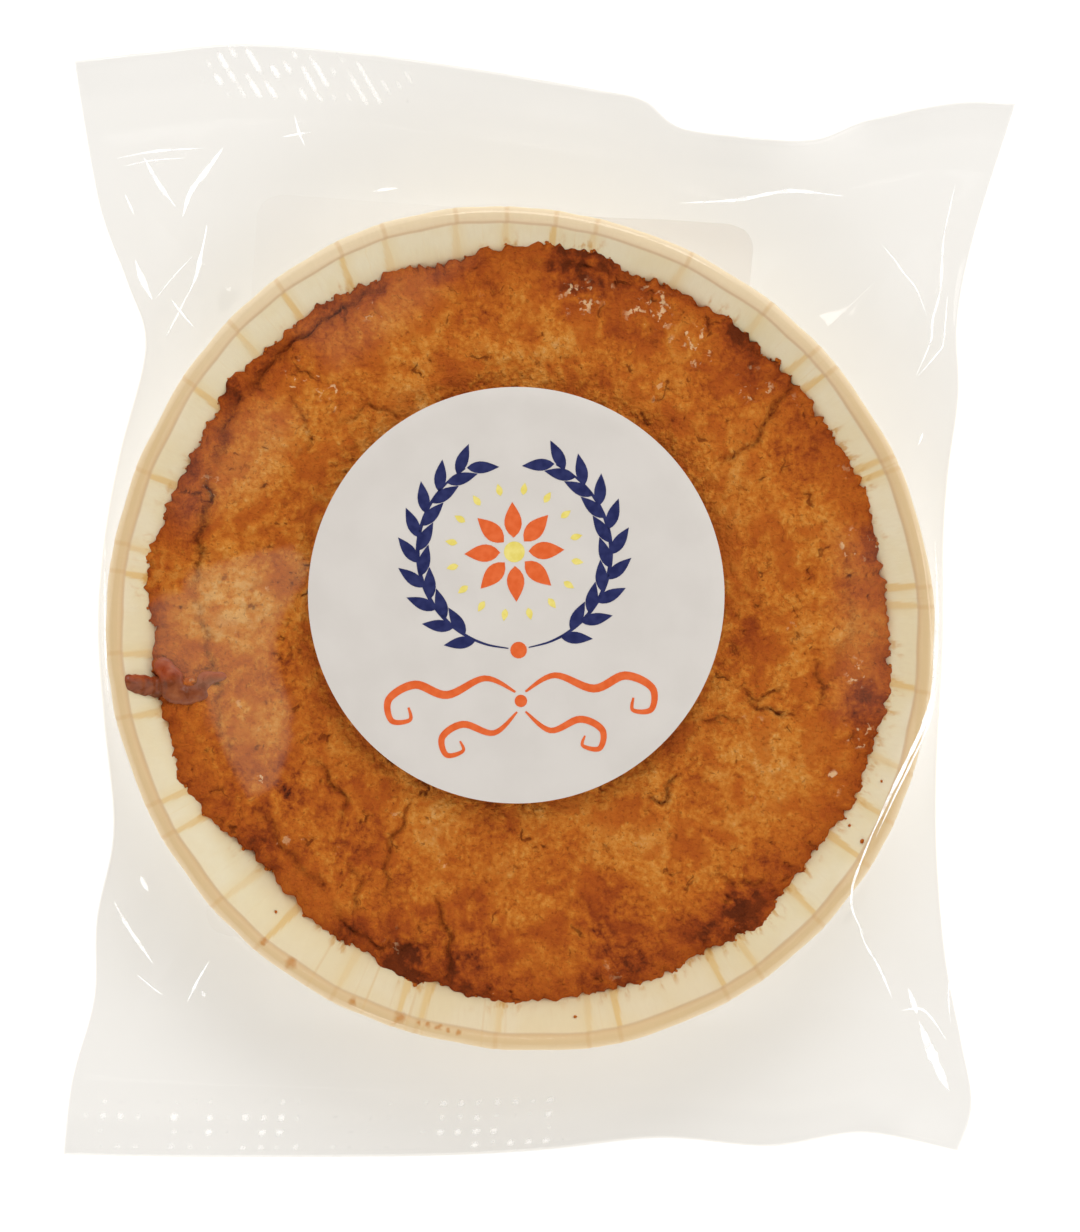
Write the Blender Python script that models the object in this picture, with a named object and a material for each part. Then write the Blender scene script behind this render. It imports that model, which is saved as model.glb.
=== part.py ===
"""A round butter cake in its pleated paper case, sealed in a clear film bag with a round label on it.

The sealed bag is one closed solid with the outer form of its film. The film is drawn over the
case's rolled rim and a low crown of cake, hugs the case at its left and right, and runs down to
a crimped seal at each end. The bag rests on the flat floor of the case. Lengths are given here in
millimetres and the meshes are made in metres, with +Z up and +Y towards the upper seal.
"""

import math

import bpy
from mathutils import Vector
from mathutils.geometry import interpolate_bezier

MM = 0.001

# The paper case inside, whose form the film follows
CASE_CENTRE = Vector((-2.2, -2.8))
FLOOR_RADIUS = 43.0
RIM_RADIUS = 49.0
ROLL_RADIUS = 1.2
ROLL_HEIGHT = 17.4
SHOULDER_RADIUS = RIM_RADIUS + ROLL_RADIUS

# The film over the cake: a low crown that meets a shallow dip just inside the rim
CROWN_HEIGHT = 18.9
DIP_HEIGHT = 18.0
DIP_RADIUS = 46.0

# The film beyond the rim
HUG_HEIGHT = 16.2
HUG_REACH = 5.0
SEAL_HEIGHT = 3.2
SLACK = 0.3
HALF_THICKNESS = 0.4

# The crimped seals
SEAL_WIDTH = 8.4
CRIMP_ROWS = 4
CRIMP_RISE = 0.45

# The bag's outline seen from above, each edge from left to right or from bottom to top
LOWER_EDGE = (
    (-58.5, -68.3), (-41.6, -68.6), (-14.5, -68.4), (0.2, -67.6),
    (15.0, -65.9), (28.6, -67.1), (40.1, -65.2), (51.6, -67.7),
)
UPPER_EDGE = (
    (-56.8, 66.1), (-47.8, 67.4), (-36.7, 68.6), (-21.9, 67.5), (-7.1, 65.4), (7.6, 62.8),
    (13.1, 61.4), (17.4, 57.9), (25.8, 56.5), (33.8, 56.4), (40.7, 59.1), (50.6, 61.0), (58.5, 60.9),
)
LEFT_EDGE = (
    (-58.5, -68.3), (-57.4, -59.0), (-54.7, -49.1), (-54.3, -39.2), (-51.9, -28.0), (-52.6, -14.5),
    (-53.2, -2.4), (-52.4, 8.5), (-50.8, 18.2), (-48.1, 31.1), (-50.6, 39.3), (-54.1, 49.1), (-56.8, 66.1),
)
RIGHT_EDGE = (
    (51.6, -67.7), (53.4, -62.0), (52.1, -54.1), (50.2, -44.1), (48.9, -30.2), (48.6, -18.0),
    (49.0, -6.0), (49.2, 6.0), (50.1, 15.1), (51.7, 25.4), (51.6, 34.2), (53.5, 44.2), (58.5, 60.9),
)

# Where the seals curl up from the table: a place, how far the curl reaches, and its lift
CURLS = (
    (Vector((27.0, 59.0)), 12.0, 6.0),
    (Vector((57.0, 62.0)), 10.0, 4.0),
    (Vector((-57.0, 66.0)), 11.0, 3.5),
    (Vector((16.0, -66.0)), 12.0, 2.5),
    (Vector((42.0, -66.0)), 9.0, 4.0),
)

# Folds that run from the rim to each corner of the bag
CORNER_FOLDS = (
    (Vector((-36.0, 31.0)), Vector((-49.0, 56.0))),
    (Vector((35.0, 28.0)), Vector((52.0, 54.0))),
    (Vector((34.0, -32.0)), Vector((50.0, -58.0))),
    (Vector((-38.0, -35.0)), Vector((-53.0, -58.0))),
)
FOLD_RISE = 2.0
FOLD_HALF_WIDTH = 5.5

# The round label on the film
LABEL_CENTRE = Vector((-2.6, 0.6))
LABEL_RADIUS = 25.0
LABEL_THICKNESS = 0.35
LABEL_GAP = 0.3

# How finely the faces are divided
ACROSS_COLUMNS = 30
ALONG_COLUMNS = 20
CROWN_RINGS = (13.0, 25.0, 36.0, FLOOR_RADIUS, DIP_RADIUS)
ROLL_ANGLES = (130.0, 95.0, 60.0, 30.0, 0.0)
SKIRT_SHARES = (0.15, 0.35, 0.6, 0.8, 1.0)
LABEL_COLUMNS = 60
LABEL_RINGS = (9.0, 17.0, LABEL_RADIUS)


def smooth_run(points, steps=12):
    """A dense run of points on the smooth curve through the given ones."""
    points = [Vector(point) for point in points]
    run = [points[0]]
    for start_index in range(len(points) - 1):
        before = points[max(start_index - 1, 0)]
        start = points[start_index]
        end = points[start_index + 1]
        after = points[min(start_index + 2, len(points) - 1)]
        start_handle = start + (end - before) / 6
        end_handle = end - (after - start) / 6
        run += interpolate_bezier(start, start_handle, end_handle, end, steps + 1)[1:]
    return run


def run_length(run):
    return sum((b - a).length for a, b in zip(run, run[1:]))


def point_along(run, share):
    """The point at a share, 0 to 1, of a run's length."""
    left = share * run_length(run)
    for a, b in zip(run, run[1:]):
        step = (b - a).length
        if left <= step:
            return a.lerp(b, left / step)
        left -= step
    return run[-1].copy()


class Plan:
    """The bag seen from above, as one smooth sheet spanned between its four edges."""

    def __init__(self):
        self.lower = smooth_run(LOWER_EDGE)
        self.upper = smooth_run(UPPER_EDGE)
        self.left = smooth_run(LEFT_EDGE)
        self.right = smooth_run(RIGHT_EDGE)
        self.seal_share = 2 * SEAL_WIDTH / (run_length(self.left) + run_length(self.right))

    def point(self, across, along):
        """The point at a share across, left to right, and a share along, bottom to top."""
        low = point_along(self.lower, across)
        high = point_along(self.upper, across)
        left = point_along(self.left, along)
        right = point_along(self.right, along)
        corners = self.lower[0].lerp(self.lower[-1], across).lerp(
            self.upper[0].lerp(self.upper[-1], across), along
        )
        return low.lerp(high, along) + left.lerp(right, across) - corners

    def body_loop(self):
        """Shares of the points round the bag's body, inside its seals, anticlockwise from lower left."""
        first = self.seal_share
        last = 1 - self.seal_share
        across = [i / ACROSS_COLUMNS for i in range(ACROSS_COLUMNS)]
        along = [first + (last - first) * i / ALONG_COLUMNS for i in range(ALONG_COLUMNS)]
        loop = [(share, first) for share in across]
        loop += [(1.0, share) for share in along]
        loop += [(1 - share, last) for share in across]
        loop += [(0.0, 1 - share) for share in along]
        return loop


def from_case(point):
    return (point - CASE_CENTRE).length


def edge_height(point):
    """Mid height of the film's folded edge, or of a seal, at a point of the plan."""
    gap = max(from_case(point) - SHOULDER_RADIUS, 0.0)
    lift = sum(rise * math.exp(-(((point - place).length / reach) ** 2)) for place, reach, rise in CURLS)
    return SEAL_HEIGHT + lift + (HUG_HEIGHT - SEAL_HEIGHT) * math.exp(-gap / HUG_REACH)


def crown_height(radius):
    """Height of the film over the cake, inside the rim."""
    return CROWN_HEIGHT - (CROWN_HEIGHT - DIP_HEIGHT) * (radius / DIP_RADIUS) ** 2


def fold_rise(point):
    """How far the corner folds lift the film at a point of the plan."""
    rise = 0.0
    for start, end in CORNER_FOLDS:
        fold = end - start
        along = (point - start).dot(fold) / fold.length_squared
        across = abs((point - start).cross(fold.normalized()))
        if 0 < along < 1:
            rise += FOLD_RISE * math.sin(math.pi * along) * max(1 - across / FOLD_HALF_WIDTH, 0.0)
    return rise


def skirt_height(point, share, edge):
    """Upper face beyond the rim, at a share of the way from the shoulder to the bag's edge."""
    fall = share + SLACK * share * (1 - share)
    return ROLL_HEIGHT + (edge + HALF_THICKNESS - ROLL_HEIGHT) * fall + fold_rise(point) * (1 - share)


def under_height(radius, reach, edge):
    """Lower face: flat under the case's floor, then straight up to the bag's edge."""
    share = max(radius - FLOOR_RADIUS, 0.0) / (reach - FLOOR_RADIUS)
    return (edge - HALF_THICKNESS) * share


class Shell:
    """A closed skin: pairs of upper and lower points, and the cells that they bound in plan."""

    def __init__(self):
        self.uppers = []
        self.lowers = []
        self.cells = []

    def add(self, point, upper, lower):
        self.uppers.append(Vector((point.x, point.y, upper)))
        self.lowers.append(Vector((point.x, point.y, lower)))
        return len(self.uppers) - 1

    def fill_ring(self, inner, outer):
        """Cells between two closed rings of the same count, both anticlockwise."""
        for i in range(len(inner)):
            after = (i + 1) % len(inner)
            self.cells.append((inner[i], outer[i], outer[after], inner[after]))

    def fill_fan(self, middle, ring):
        for i in range(len(ring)):
            self.cells.append((middle, ring[i], ring[(i + 1) % len(ring)]))

    def fill_band(self, low_row, high_row):
        """Cells between two open rows, both from left to right."""
        for i in range(len(low_row) - 1):
            self.cells.append((low_row[i], low_row[i + 1], high_row[i + 1], high_row[i]))

    def border(self):
        """The sides of cells that no other cell shares, each in its own cell's direction."""
        sides = [(cell[i - 1], cell[i]) for cell in self.cells for i in range(len(cell))]
        shared = set(sides)
        return [(a, b) for a, b in sides if (b, a) not in shared]

    def make_object(self, name, material):
        below = len(self.uppers)
        faces = list(self.cells)
        faces += [tuple(i + below for i in reversed(cell)) for cell in self.cells]
        faces += [(a + below, b + below, b, a) for a, b in self.border()]
        mesh = bpy.data.meshes.new(name)
        mesh.from_pydata([point * MM for point in self.uppers + self.lowers], [], faces)
        mesh.validate()
        mesh.shade_smooth()
        mesh.set_sharp_from_angle(angle=math.radians(40))
        mesh.materials.append(material)
        shaped = bpy.data.objects.new(name, mesh)
        bpy.context.collection.objects.link(shaped)
        return shaped


def make_material(name, color, roughness, alpha=1.0):
    material = bpy.data.materials.new(name)
    material.use_nodes = True
    shader = material.node_tree.nodes["Principled BSDF"]
    shader.inputs["Base Color"].default_value = (*color, 1.0)
    shader.inputs["Roughness"].default_value = roughness
    shader.inputs["Metallic"].default_value = 0.0
    shader.inputs["Alpha"].default_value = alpha
    return material


def add_case_rings(shell, directions, reaches, edges):
    """The film over the cake and the rolled rim, as rings about the case's centre."""
    crown = [(radius, crown_height(radius)) for radius in CROWN_RINGS]
    roll = [
        (
            RIM_RADIUS + ROLL_RADIUS * math.cos(math.radians(angle)),
            ROLL_HEIGHT + ROLL_RADIUS * math.sin(math.radians(angle)),
        )
        for angle in ROLL_ANGLES
    ]
    middle = shell.add(CASE_CENTRE, CROWN_HEIGHT, 0.0)
    previous = None
    for radius, height in crown + roll:
        ring = [
            shell.add(CASE_CENTRE + direction * radius, height, under_height(radius, reach, edge))
            for direction, reach, edge in zip(directions, reaches, edges)
        ]
        if previous is None:
            shell.fill_fan(middle, ring)
        else:
            shell.fill_ring(previous, ring)
        previous = ring
    return previous


def add_skirt(shell, shoulder, directions, reaches, edges):
    """The film from the rim's shoulder to the bag's edge."""
    previous = shoulder
    for share in SKIRT_SHARES:
        ring = []
        for direction, reach, edge in zip(directions, reaches, edges):
            radius = SHOULDER_RADIUS + (reach - SHOULDER_RADIUS) * share
            point = CASE_CENTRE + direction * radius
            upper = skirt_height(point, share, edge)
            ring.append(shell.add(point, upper, under_height(radius, reach, edge)))
        shell.fill_ring(previous, ring)
        previous = ring
    return previous


def add_seal(shell, plan, inner_row, inner_share, outer_share):
    """A crimped band from the body out to the bag's end, with a ridge at each crimp row."""
    steps = 2 * CRIMP_ROWS
    previous = inner_row
    for step in range(1, steps + 1):
        along = inner_share + (outer_share - inner_share) * step / steps
        ridge = CRIMP_RISE * (step % 2)
        row = []
        for column in range(ACROSS_COLUMNS + 1):
            point = plan.point(column / ACROSS_COLUMNS, along)
            middle = edge_height(point) + ridge
            row.append(shell.add(point, middle + HALF_THICKNESS, middle - HALF_THICKNESS))
        if outer_share > inner_share:
            shell.fill_band(previous, row)
        else:
            shell.fill_band(row, previous)
        previous = row


def make_bag(material):
    plan = Plan()
    border = [plan.point(across, along) for across, along in plan.body_loop()]
    directions = [(point - CASE_CENTRE).normalized() for point in border]
    reaches = [from_case(point) for point in border]
    edges = [edge_height(point) for point in border]
    shell = Shell()
    shoulder = add_case_rings(shell, directions, reaches, edges)
    rim = add_skirt(shell, shoulder, directions, reaches, edges)
    upper_start = ACROSS_COLUMNS + ALONG_COLUMNS
    lower_row = rim[: ACROSS_COLUMNS + 1]
    upper_row = rim[upper_start : upper_start + ACROSS_COLUMNS + 1]
    add_seal(shell, plan, lower_row, plan.seal_share, 0.0)
    add_seal(shell, plan, upper_row[::-1], 1 - plan.seal_share, 1.0)
    return shell.make_object("bag", material)


def make_label(material):
    """A thin round label that follows the crown of the film, just clear of it."""
    shell = Shell()

    def add(point):
        film = crown_height(from_case(point))
        return shell.add(point, film + LABEL_GAP + LABEL_THICKNESS, film + LABEL_GAP)

    middle = add(LABEL_CENTRE)
    previous = None
    for radius in LABEL_RINGS:
        ring = []
        for column in range(LABEL_COLUMNS):
            angle = 2 * math.pi * column / LABEL_COLUMNS
            ring.append(add(LABEL_CENTRE + Vector((math.cos(angle), math.sin(angle))) * radius))
        if previous is None:
            shell.fill_fan(middle, ring)
        else:
            shell.fill_ring(previous, ring)
        previous = ring
    return shell.make_object("label", material)


def main():
    for old in list(bpy.data.objects):
        bpy.data.objects.remove(old)
    make_bag(make_material("clear_film", (0.86, 0.82, 0.76), 0.18, alpha=0.35))
    make_label(make_material("label_paper", (0.80, 0.78, 0.75), 0.45))


main()
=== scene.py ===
"""A round butter cake in its pleated paper case, sealed in a clear film bag with a round label on it.

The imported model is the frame. Its bag solid is stood for by the film and what the film holds: the
paper case, the cake, the fruit filling that leaked out, the crumbs and a plain label on the back.
Its label solid is stood for by the round label with its printed design. Lengths are given in
millimetres and the meshes are made in metres, with +Z up and +Y towards the upper seal.
"""

import math

import bpy
import numpy as np
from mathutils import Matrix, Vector
from mathutils.geometry import interpolate_bezier


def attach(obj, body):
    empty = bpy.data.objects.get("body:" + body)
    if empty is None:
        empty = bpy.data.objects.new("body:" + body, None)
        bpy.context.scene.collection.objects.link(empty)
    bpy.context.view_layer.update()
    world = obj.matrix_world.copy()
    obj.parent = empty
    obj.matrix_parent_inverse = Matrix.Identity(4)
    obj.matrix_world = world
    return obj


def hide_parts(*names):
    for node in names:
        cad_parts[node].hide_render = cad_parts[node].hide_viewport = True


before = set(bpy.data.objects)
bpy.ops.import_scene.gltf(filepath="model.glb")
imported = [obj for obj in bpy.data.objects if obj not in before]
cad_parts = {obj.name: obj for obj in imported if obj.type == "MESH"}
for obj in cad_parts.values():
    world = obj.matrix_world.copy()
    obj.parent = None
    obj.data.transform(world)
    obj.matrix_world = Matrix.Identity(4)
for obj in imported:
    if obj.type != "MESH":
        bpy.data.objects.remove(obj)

MM = 0.001

# The paper case, whose form the film follows
CASE_CENTRE = np.array((-2.2, -2.8))
FLOOR_RADIUS = 43.0
RIM_RADIUS = 49.0
ROLL_RADIUS = 1.2
ROLL_HEIGHT = 17.4
SHOULDER_RADIUS = RIM_RADIUS + ROLL_RADIUS
CASE_ROLL = 1.0
CASE_ROLL_CENTRE = 49.05

# The film over the cake and beyond the rim
CROWN_HEIGHT = 18.9
DIP_HEIGHT = 18.0
DIP_RADIUS = 46.0
HUG_HEIGHT = 16.2
HUG_REACH = 5.0
SEAL_HEIGHT = 3.2
SLACK = 0.3
SEAL_WIDTH = 8.4
FILM_HALF_GAP = 0.05
FILM_UNDERSIDE = 0.15

# The bag's outline seen from above, each edge from left to right or from bottom to top
LOWER_EDGE = (
    (-58.5, -68.3), (-41.6, -68.6), (-14.5, -68.4), (0.2, -67.6),
    (15.0, -65.9), (28.6, -67.1), (40.1, -65.2), (51.6, -67.7),
)
UPPER_EDGE = (
    (-56.8, 66.1), (-47.8, 67.4), (-36.7, 68.6), (-21.9, 67.5), (-7.1, 65.4), (7.6, 62.8),
    (13.1, 61.4), (17.4, 57.9), (25.8, 56.5), (33.8, 56.4), (40.7, 59.1), (50.6, 61.0), (58.5, 60.9),
)
LEFT_EDGE = (
    (-58.5, -68.3), (-57.4, -59.0), (-54.7, -49.1), (-54.3, -39.2), (-51.9, -28.0), (-52.6, -14.5),
    (-53.2, -2.4), (-52.4, 8.5), (-50.8, 18.2), (-48.1, 31.1), (-50.6, 39.3), (-54.1, 49.1), (-56.8, 66.1),
)
RIGHT_EDGE = (
    (51.6, -67.7), (53.4, -62.0), (52.1, -54.1), (50.2, -44.1), (48.9, -30.2), (48.6, -18.0),
    (49.0, -6.0), (49.2, 6.0), (50.1, 15.1), (51.7, 25.4), (51.6, 34.2), (53.5, 44.2), (58.5, 60.9),
)

# Where the seals curl up from the table: a place, how far the curl reaches, and its lift
CURLS = (
    ((27.0, 59.0), 12.0, 6.0),
    ((57.0, 62.0), 10.0, 4.0),
    ((-57.0, 66.0), 11.0, 3.5),
    ((16.0, -66.0), 12.0, 2.5),
    ((42.0, -66.0), 9.0, 4.0),
)

# The broad folds from the rim to the bag's corners: a line of points, its rise and its half width
FOLDS = (
    (((-36.0, 31.0), (-49.0, 56.0)), 2.0, 5.5),
    (((35.0, 28.0), (52.0, 54.0)), 2.0, 5.5),
    (((34.0, -32.0), (50.0, -58.0)), 2.0, 5.5),
    (((-38.0, -35.0), (-53.0, -58.0)), 2.0, 5.5),
)

# The round label on the film
LABEL_CENTRE = np.array((-2.6, 0.6))
LABEL_RADIUS = 25.0

# Reaches from the case's centre, measured round it from +X: the rim's outer edge every 15 degrees,
# and the crust's edge every 5 degrees
RIM_REACH = (
    49.9, 49.6, 49.3, 49.1, 49.2, 49.5, 50.1, 50.7, 51.0, 50.4, 50.0, 49.7,
    49.7, 50.0, 50.0, 50.5, 50.7, 50.9, 51.4, 51.8, 51.9, 51.7, 51.1, 50.4,
)
CRUST_REACH = (
    44.6, 44.3, 44.3, 44.4, 44.7, 44.5, 44.2, 44.1, 44.3, 44.2, 44.4, 44.6,
    44.5, 44.5, 44.5, 45.1, 45.9, 45.9, 45.7, 45.4, 44.6, 44.8, 45.3, 45.1,
    45.5, 45.4, 45.1, 45.3, 45.7, 45.0, 44.5, 44.9, 44.6, 45.3, 45.3, 45.5,
    44.3, 44.6, 44.6, 44.3, 44.8, 45.0, 44.7, 43.6, 42.9, 42.7, 43.1, 43.8,
    44.0, 44.1, 45.0, 45.1, 45.1, 45.7, 45.9, 45.6, 45.7, 45.5, 46.1, 45.8,
    45.5, 46.4, 46.4, 45.7, 45.1, 45.3, 45.6, 45.7, 45.1, 45.4, 45.5, 44.9,
)

# Clear film that stands off the crust and shows a milky reflection, painted in as white: an outline, the
# blur of its edge and its strength
PAINTED_REFLECTIONS = (
    (
        ((-41.9, 3.1), (-34.4, 5.5), (-29.6, 6.2), (-27.4, 3.8), (-29.9, -0.1), (-31.3, -2.8), (-32.0, -6.0),
         (-31.6, -9.1), (-29.9, -12.2), (-29.9, -17.1), (-31.6, -22.3), (-34.4, -23.3), (-37.9, -17.1),
         (-39.3, -14.3), (-40.0, -10.8), (-46.4, -6.7), (-46.0, -3.2), (-46.4, -0.1), (-42.4, 1.0)),
        1.0, 1.0,
    ),
    (((-41.0, 20.0), (-33.0, 24.0), (-29.0, 22.0), (-33.0, 14.0), (-42.0, 9.0), (-45.0, 12.0)), 5.0, 0.35),
    (((-30.0, 33.0), (-20.0, 39.0), (-8.0, 41.5), (-14.0, 35.0), (-24.0, 28.0)), 4.0, 0.35),
    (((36.0, 8.0), (43.0, 8.0), (43.0, -14.0), (36.0, -14.0)), 5.0, 0.3),
)


# Shared forms


def smooth_run(points, steps=12):
    """A dense run of points on the smooth curve through the given ones."""
    points = [Vector(point) for point in points]
    run = [points[0]]
    for start_index in range(len(points) - 1):
        before = points[max(start_index - 1, 0)]
        start = points[start_index]
        end = points[start_index + 1]
        after = points[min(start_index + 2, len(points) - 1)]
        start_handle = start + (end - before) / 6
        end_handle = end - (after - start) / 6
        run += interpolate_bezier(start, start_handle, end_handle, end, steps + 1)[1:]
    return np.array(run)


def lengths_along(run):
    steps = np.linalg.norm(np.diff(run, axis=0), axis=1)
    return np.concatenate(((0.0,), np.cumsum(steps)))


def points_along(run, shares):
    """The points at these shares, 0 to 1, of a run's length."""
    lengths = lengths_along(run)
    wanted = np.asarray(shares) * lengths[-1]
    return np.stack([np.interp(wanted, lengths, run[:, axis]) for axis in range(run.shape[1])], axis=-1)


class Plan:
    """The bag seen from above, as one smooth sheet spanned between its four edges."""

    def __init__(self):
        self.lower = smooth_run(LOWER_EDGE)
        self.upper = smooth_run(UPPER_EDGE)
        self.left = smooth_run(LEFT_EDGE)
        self.right = smooth_run(RIGHT_EDGE)
        self.seal_share = 2 * SEAL_WIDTH / (lengths_along(self.left)[-1] + lengths_along(self.right)[-1])

    def points(self, across, along):
        """The points at shares across, left to right, and shares along, bottom to top."""
        across = np.asarray(across, float)
        along = np.asarray(along, float)
        x = across[..., None]
        y = along[..., None]
        ends = points_along(self.lower, across) * (1 - y) + points_along(self.upper, across) * y
        sides = points_along(self.left, along) * (1 - x) + points_along(self.right, along) * x
        low = self.lower[0] * (1 - x) + self.lower[-1] * x
        high = self.upper[0] * (1 - x) + self.upper[-1] * x
        return ends + sides - low * (1 - y) - high * y


def reach_from(centre, points):
    return np.linalg.norm(points - np.asarray(centre), axis=-1)


def round_curve(values, headings, waves):
    """A smooth closed curve near values given at even headings, with this many waves round the circle."""
    strengths = np.fft.rfft(values)[: waves + 1] / len(values)
    strengths[1:] *= 2
    turns = np.exp(1j * np.multiply.outer(headings, np.arange(waves + 1)))
    return (turns @ strengths).real


def even_headings(count):
    """This many headings round the circle, from +X."""
    return 2 * np.pi * np.arange(count) / count


def headings_of(points):
    offset = points - CASE_CENTRE
    return np.arctan2(offset[..., 1], offset[..., 0])


def rim_shift(headings):
    """How far the rim lies outside its mean circle at these headings."""
    return round_curve(RIM_REACH, headings, 8) - CASE_ROLL_CENTRE - CASE_ROLL


def inside_outline(points, outline, blur):
    """1 well inside a closed outline and 0 outside, with this blur along its edge."""
    corners = np.array(outline)
    inside = np.zeros(points.shape[:-1], bool)
    away = np.full(points.shape[:-1], 1e9)
    for start, end in zip(corners, np.roll(corners, -1, axis=0)):
        step = end - start
        offset = points - start
        share = np.clip((offset @ step) / (step @ step), 0.0, 1.0)
        away = np.minimum(away, np.linalg.norm(offset - share[..., None] * step, axis=-1))
        spans = (start[1] > points[..., 1]) != (end[1] > points[..., 1])
        rise = np.where(step[1] == 0, 1e-9, step[1])
        crosses = points[..., 0] < start[0] + step[0] * (points[..., 1] - start[1]) / rise
        inside ^= spans & crosses
    return smooth_step(np.where(inside, away, -away), -blur / 2, blur / 2)


def smooth_step(value, start, end):
    share = np.clip((value - start) / (end - start), 0.0, 1.0)
    return share * share * (3 - 2 * share)


def edge_height(points):
    """Mid height of the film's folded edge, or of a seal, at points of the plan."""
    gap = np.maximum(reach_from(CASE_CENTRE, points) - SHOULDER_RADIUS, 0.0)
    lift = sum(rise * np.exp(-((reach_from(place, points) / reach) ** 2)) for place, reach, rise in CURLS)
    return SEAL_HEIGHT + lift + (HUG_HEIGHT - SEAL_HEIGHT) * np.exp(-gap / HUG_REACH)


def crown_height(radius):
    """Height of the film over the cake, inside the rim."""
    return CROWN_HEIGHT - (CROWN_HEIGHT - DIP_HEIGHT) * (radius / DIP_RADIUS) ** 2


def ridge_rise(points, ridges, power=1.0):
    """How far these ridges lift the film: sharp along their middle, and run out at both ends."""
    rise_here = np.zeros(points.shape[:-1])
    for line, rise, half_width in ridges:
        run = smooth_run(line, 6) if len(line) > 2 else np.array(line)
        lengths = lengths_along(run)
        nearest = np.full(points.shape[:-1], 1e9)
        place = np.zeros(points.shape[:-1])
        for start, end, passed in zip(run, run[1:], lengths):
            step = end - start
            span = np.linalg.norm(step)
            share = np.clip(((points - start) @ step) / span**2, 0.0, 1.0)
            away = np.linalg.norm(points - start - share[..., None] * step, axis=-1)
            closer = away < nearest
            nearest = np.where(closer, away, nearest)
            place = np.where(closer, (passed + share * span) / lengths[-1], place)
        taper = np.sin(np.pi * np.clip(place, 0.0, 1.0)) ** power
        rise_here = np.maximum(rise_here, rise * taper * np.maximum(1 - nearest / half_width, 0.0))
    return rise_here


# Mesh making


def make_mesh(name, points, faces, material, attributes=None, smooth_angle=None, edges=()):
    """A mesh object at the origin from points in millimetres, with named numbers on its points."""
    mesh = bpy.data.meshes.new(name)
    mesh.from_pydata(np.asarray(points) * MM, list(edges), faces)
    for label, values in (attributes or {}).items():
        layer = mesh.attributes.new(label, "FLOAT", "POINT")
        layer.data.foreach_set("value", np.asarray(values, np.float32).ravel())
    mesh.shade_smooth()
    if smooth_angle is not None:
        mesh.set_sharp_from_angle(angle=math.radians(smooth_angle))
    mesh.materials.append(material)
    shaped = bpy.data.objects.new(name, mesh)
    bpy.context.scene.collection.objects.link(shaped)
    return shaped


def ring_faces(inner, outer):
    """Cells between two closed rings of point numbers, both anticlockwise seen from outside."""
    inner_next = np.roll(inner, -1)
    outer_next = np.roll(outer, -1)
    return np.stack((inner, outer, outer_next, inner_next), axis=1).tolist()


def fan_faces(middle, ring):
    return [(middle, int(a), int(b)) for a, b in zip(ring, np.roll(ring, -1))]


def band_faces(low_row, high_row):
    """Cells between two open rows of point numbers, both from left to right."""
    return np.stack((low_row[:-1], low_row[1:], high_row[1:], high_row[:-1]), axis=1).tolist()


def closed_form(rings):
    """Points and faces of a closed form from its rings, of which the first and last are single points.

    The rings run from the middle of the top out and down to the middle of the bottom.
    """
    columns = len(rings[1])
    numbers = [1 + i * columns + np.arange(columns) for i in range(len(rings) - 2)]
    faces = fan_faces(0, numbers[0])
    for inner, outer in zip(numbers, numbers[1:]):
        faces += ring_faces(inner, outer)
    faces += fan_faces(1 + len(numbers) * columns, numbers[-1][::-1])
    return np.concatenate(rings), faces


def turned_solid(rows, columns):
    """A closed form round the case's middle, from profile rows that each pair a radius and a height.

    A radius or a height may be one number or one for each column. The first and last rows are points.
    """
    headings = even_headings(columns)
    rings = [[(*CASE_CENTRE, rows[0][1])]]
    for radius, height in rows[1:-1]:
        x = CASE_CENTRE[0] + radius * np.cos(headings)
        y = CASE_CENTRE[1] + radius * np.sin(headings)
        rings.append(np.column_stack((x, y, np.broadcast_to(height, columns))))
    rings.append([(*CASE_CENTRE, rows[-1][1])])
    return closed_form(rings)


# Node trees


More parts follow.
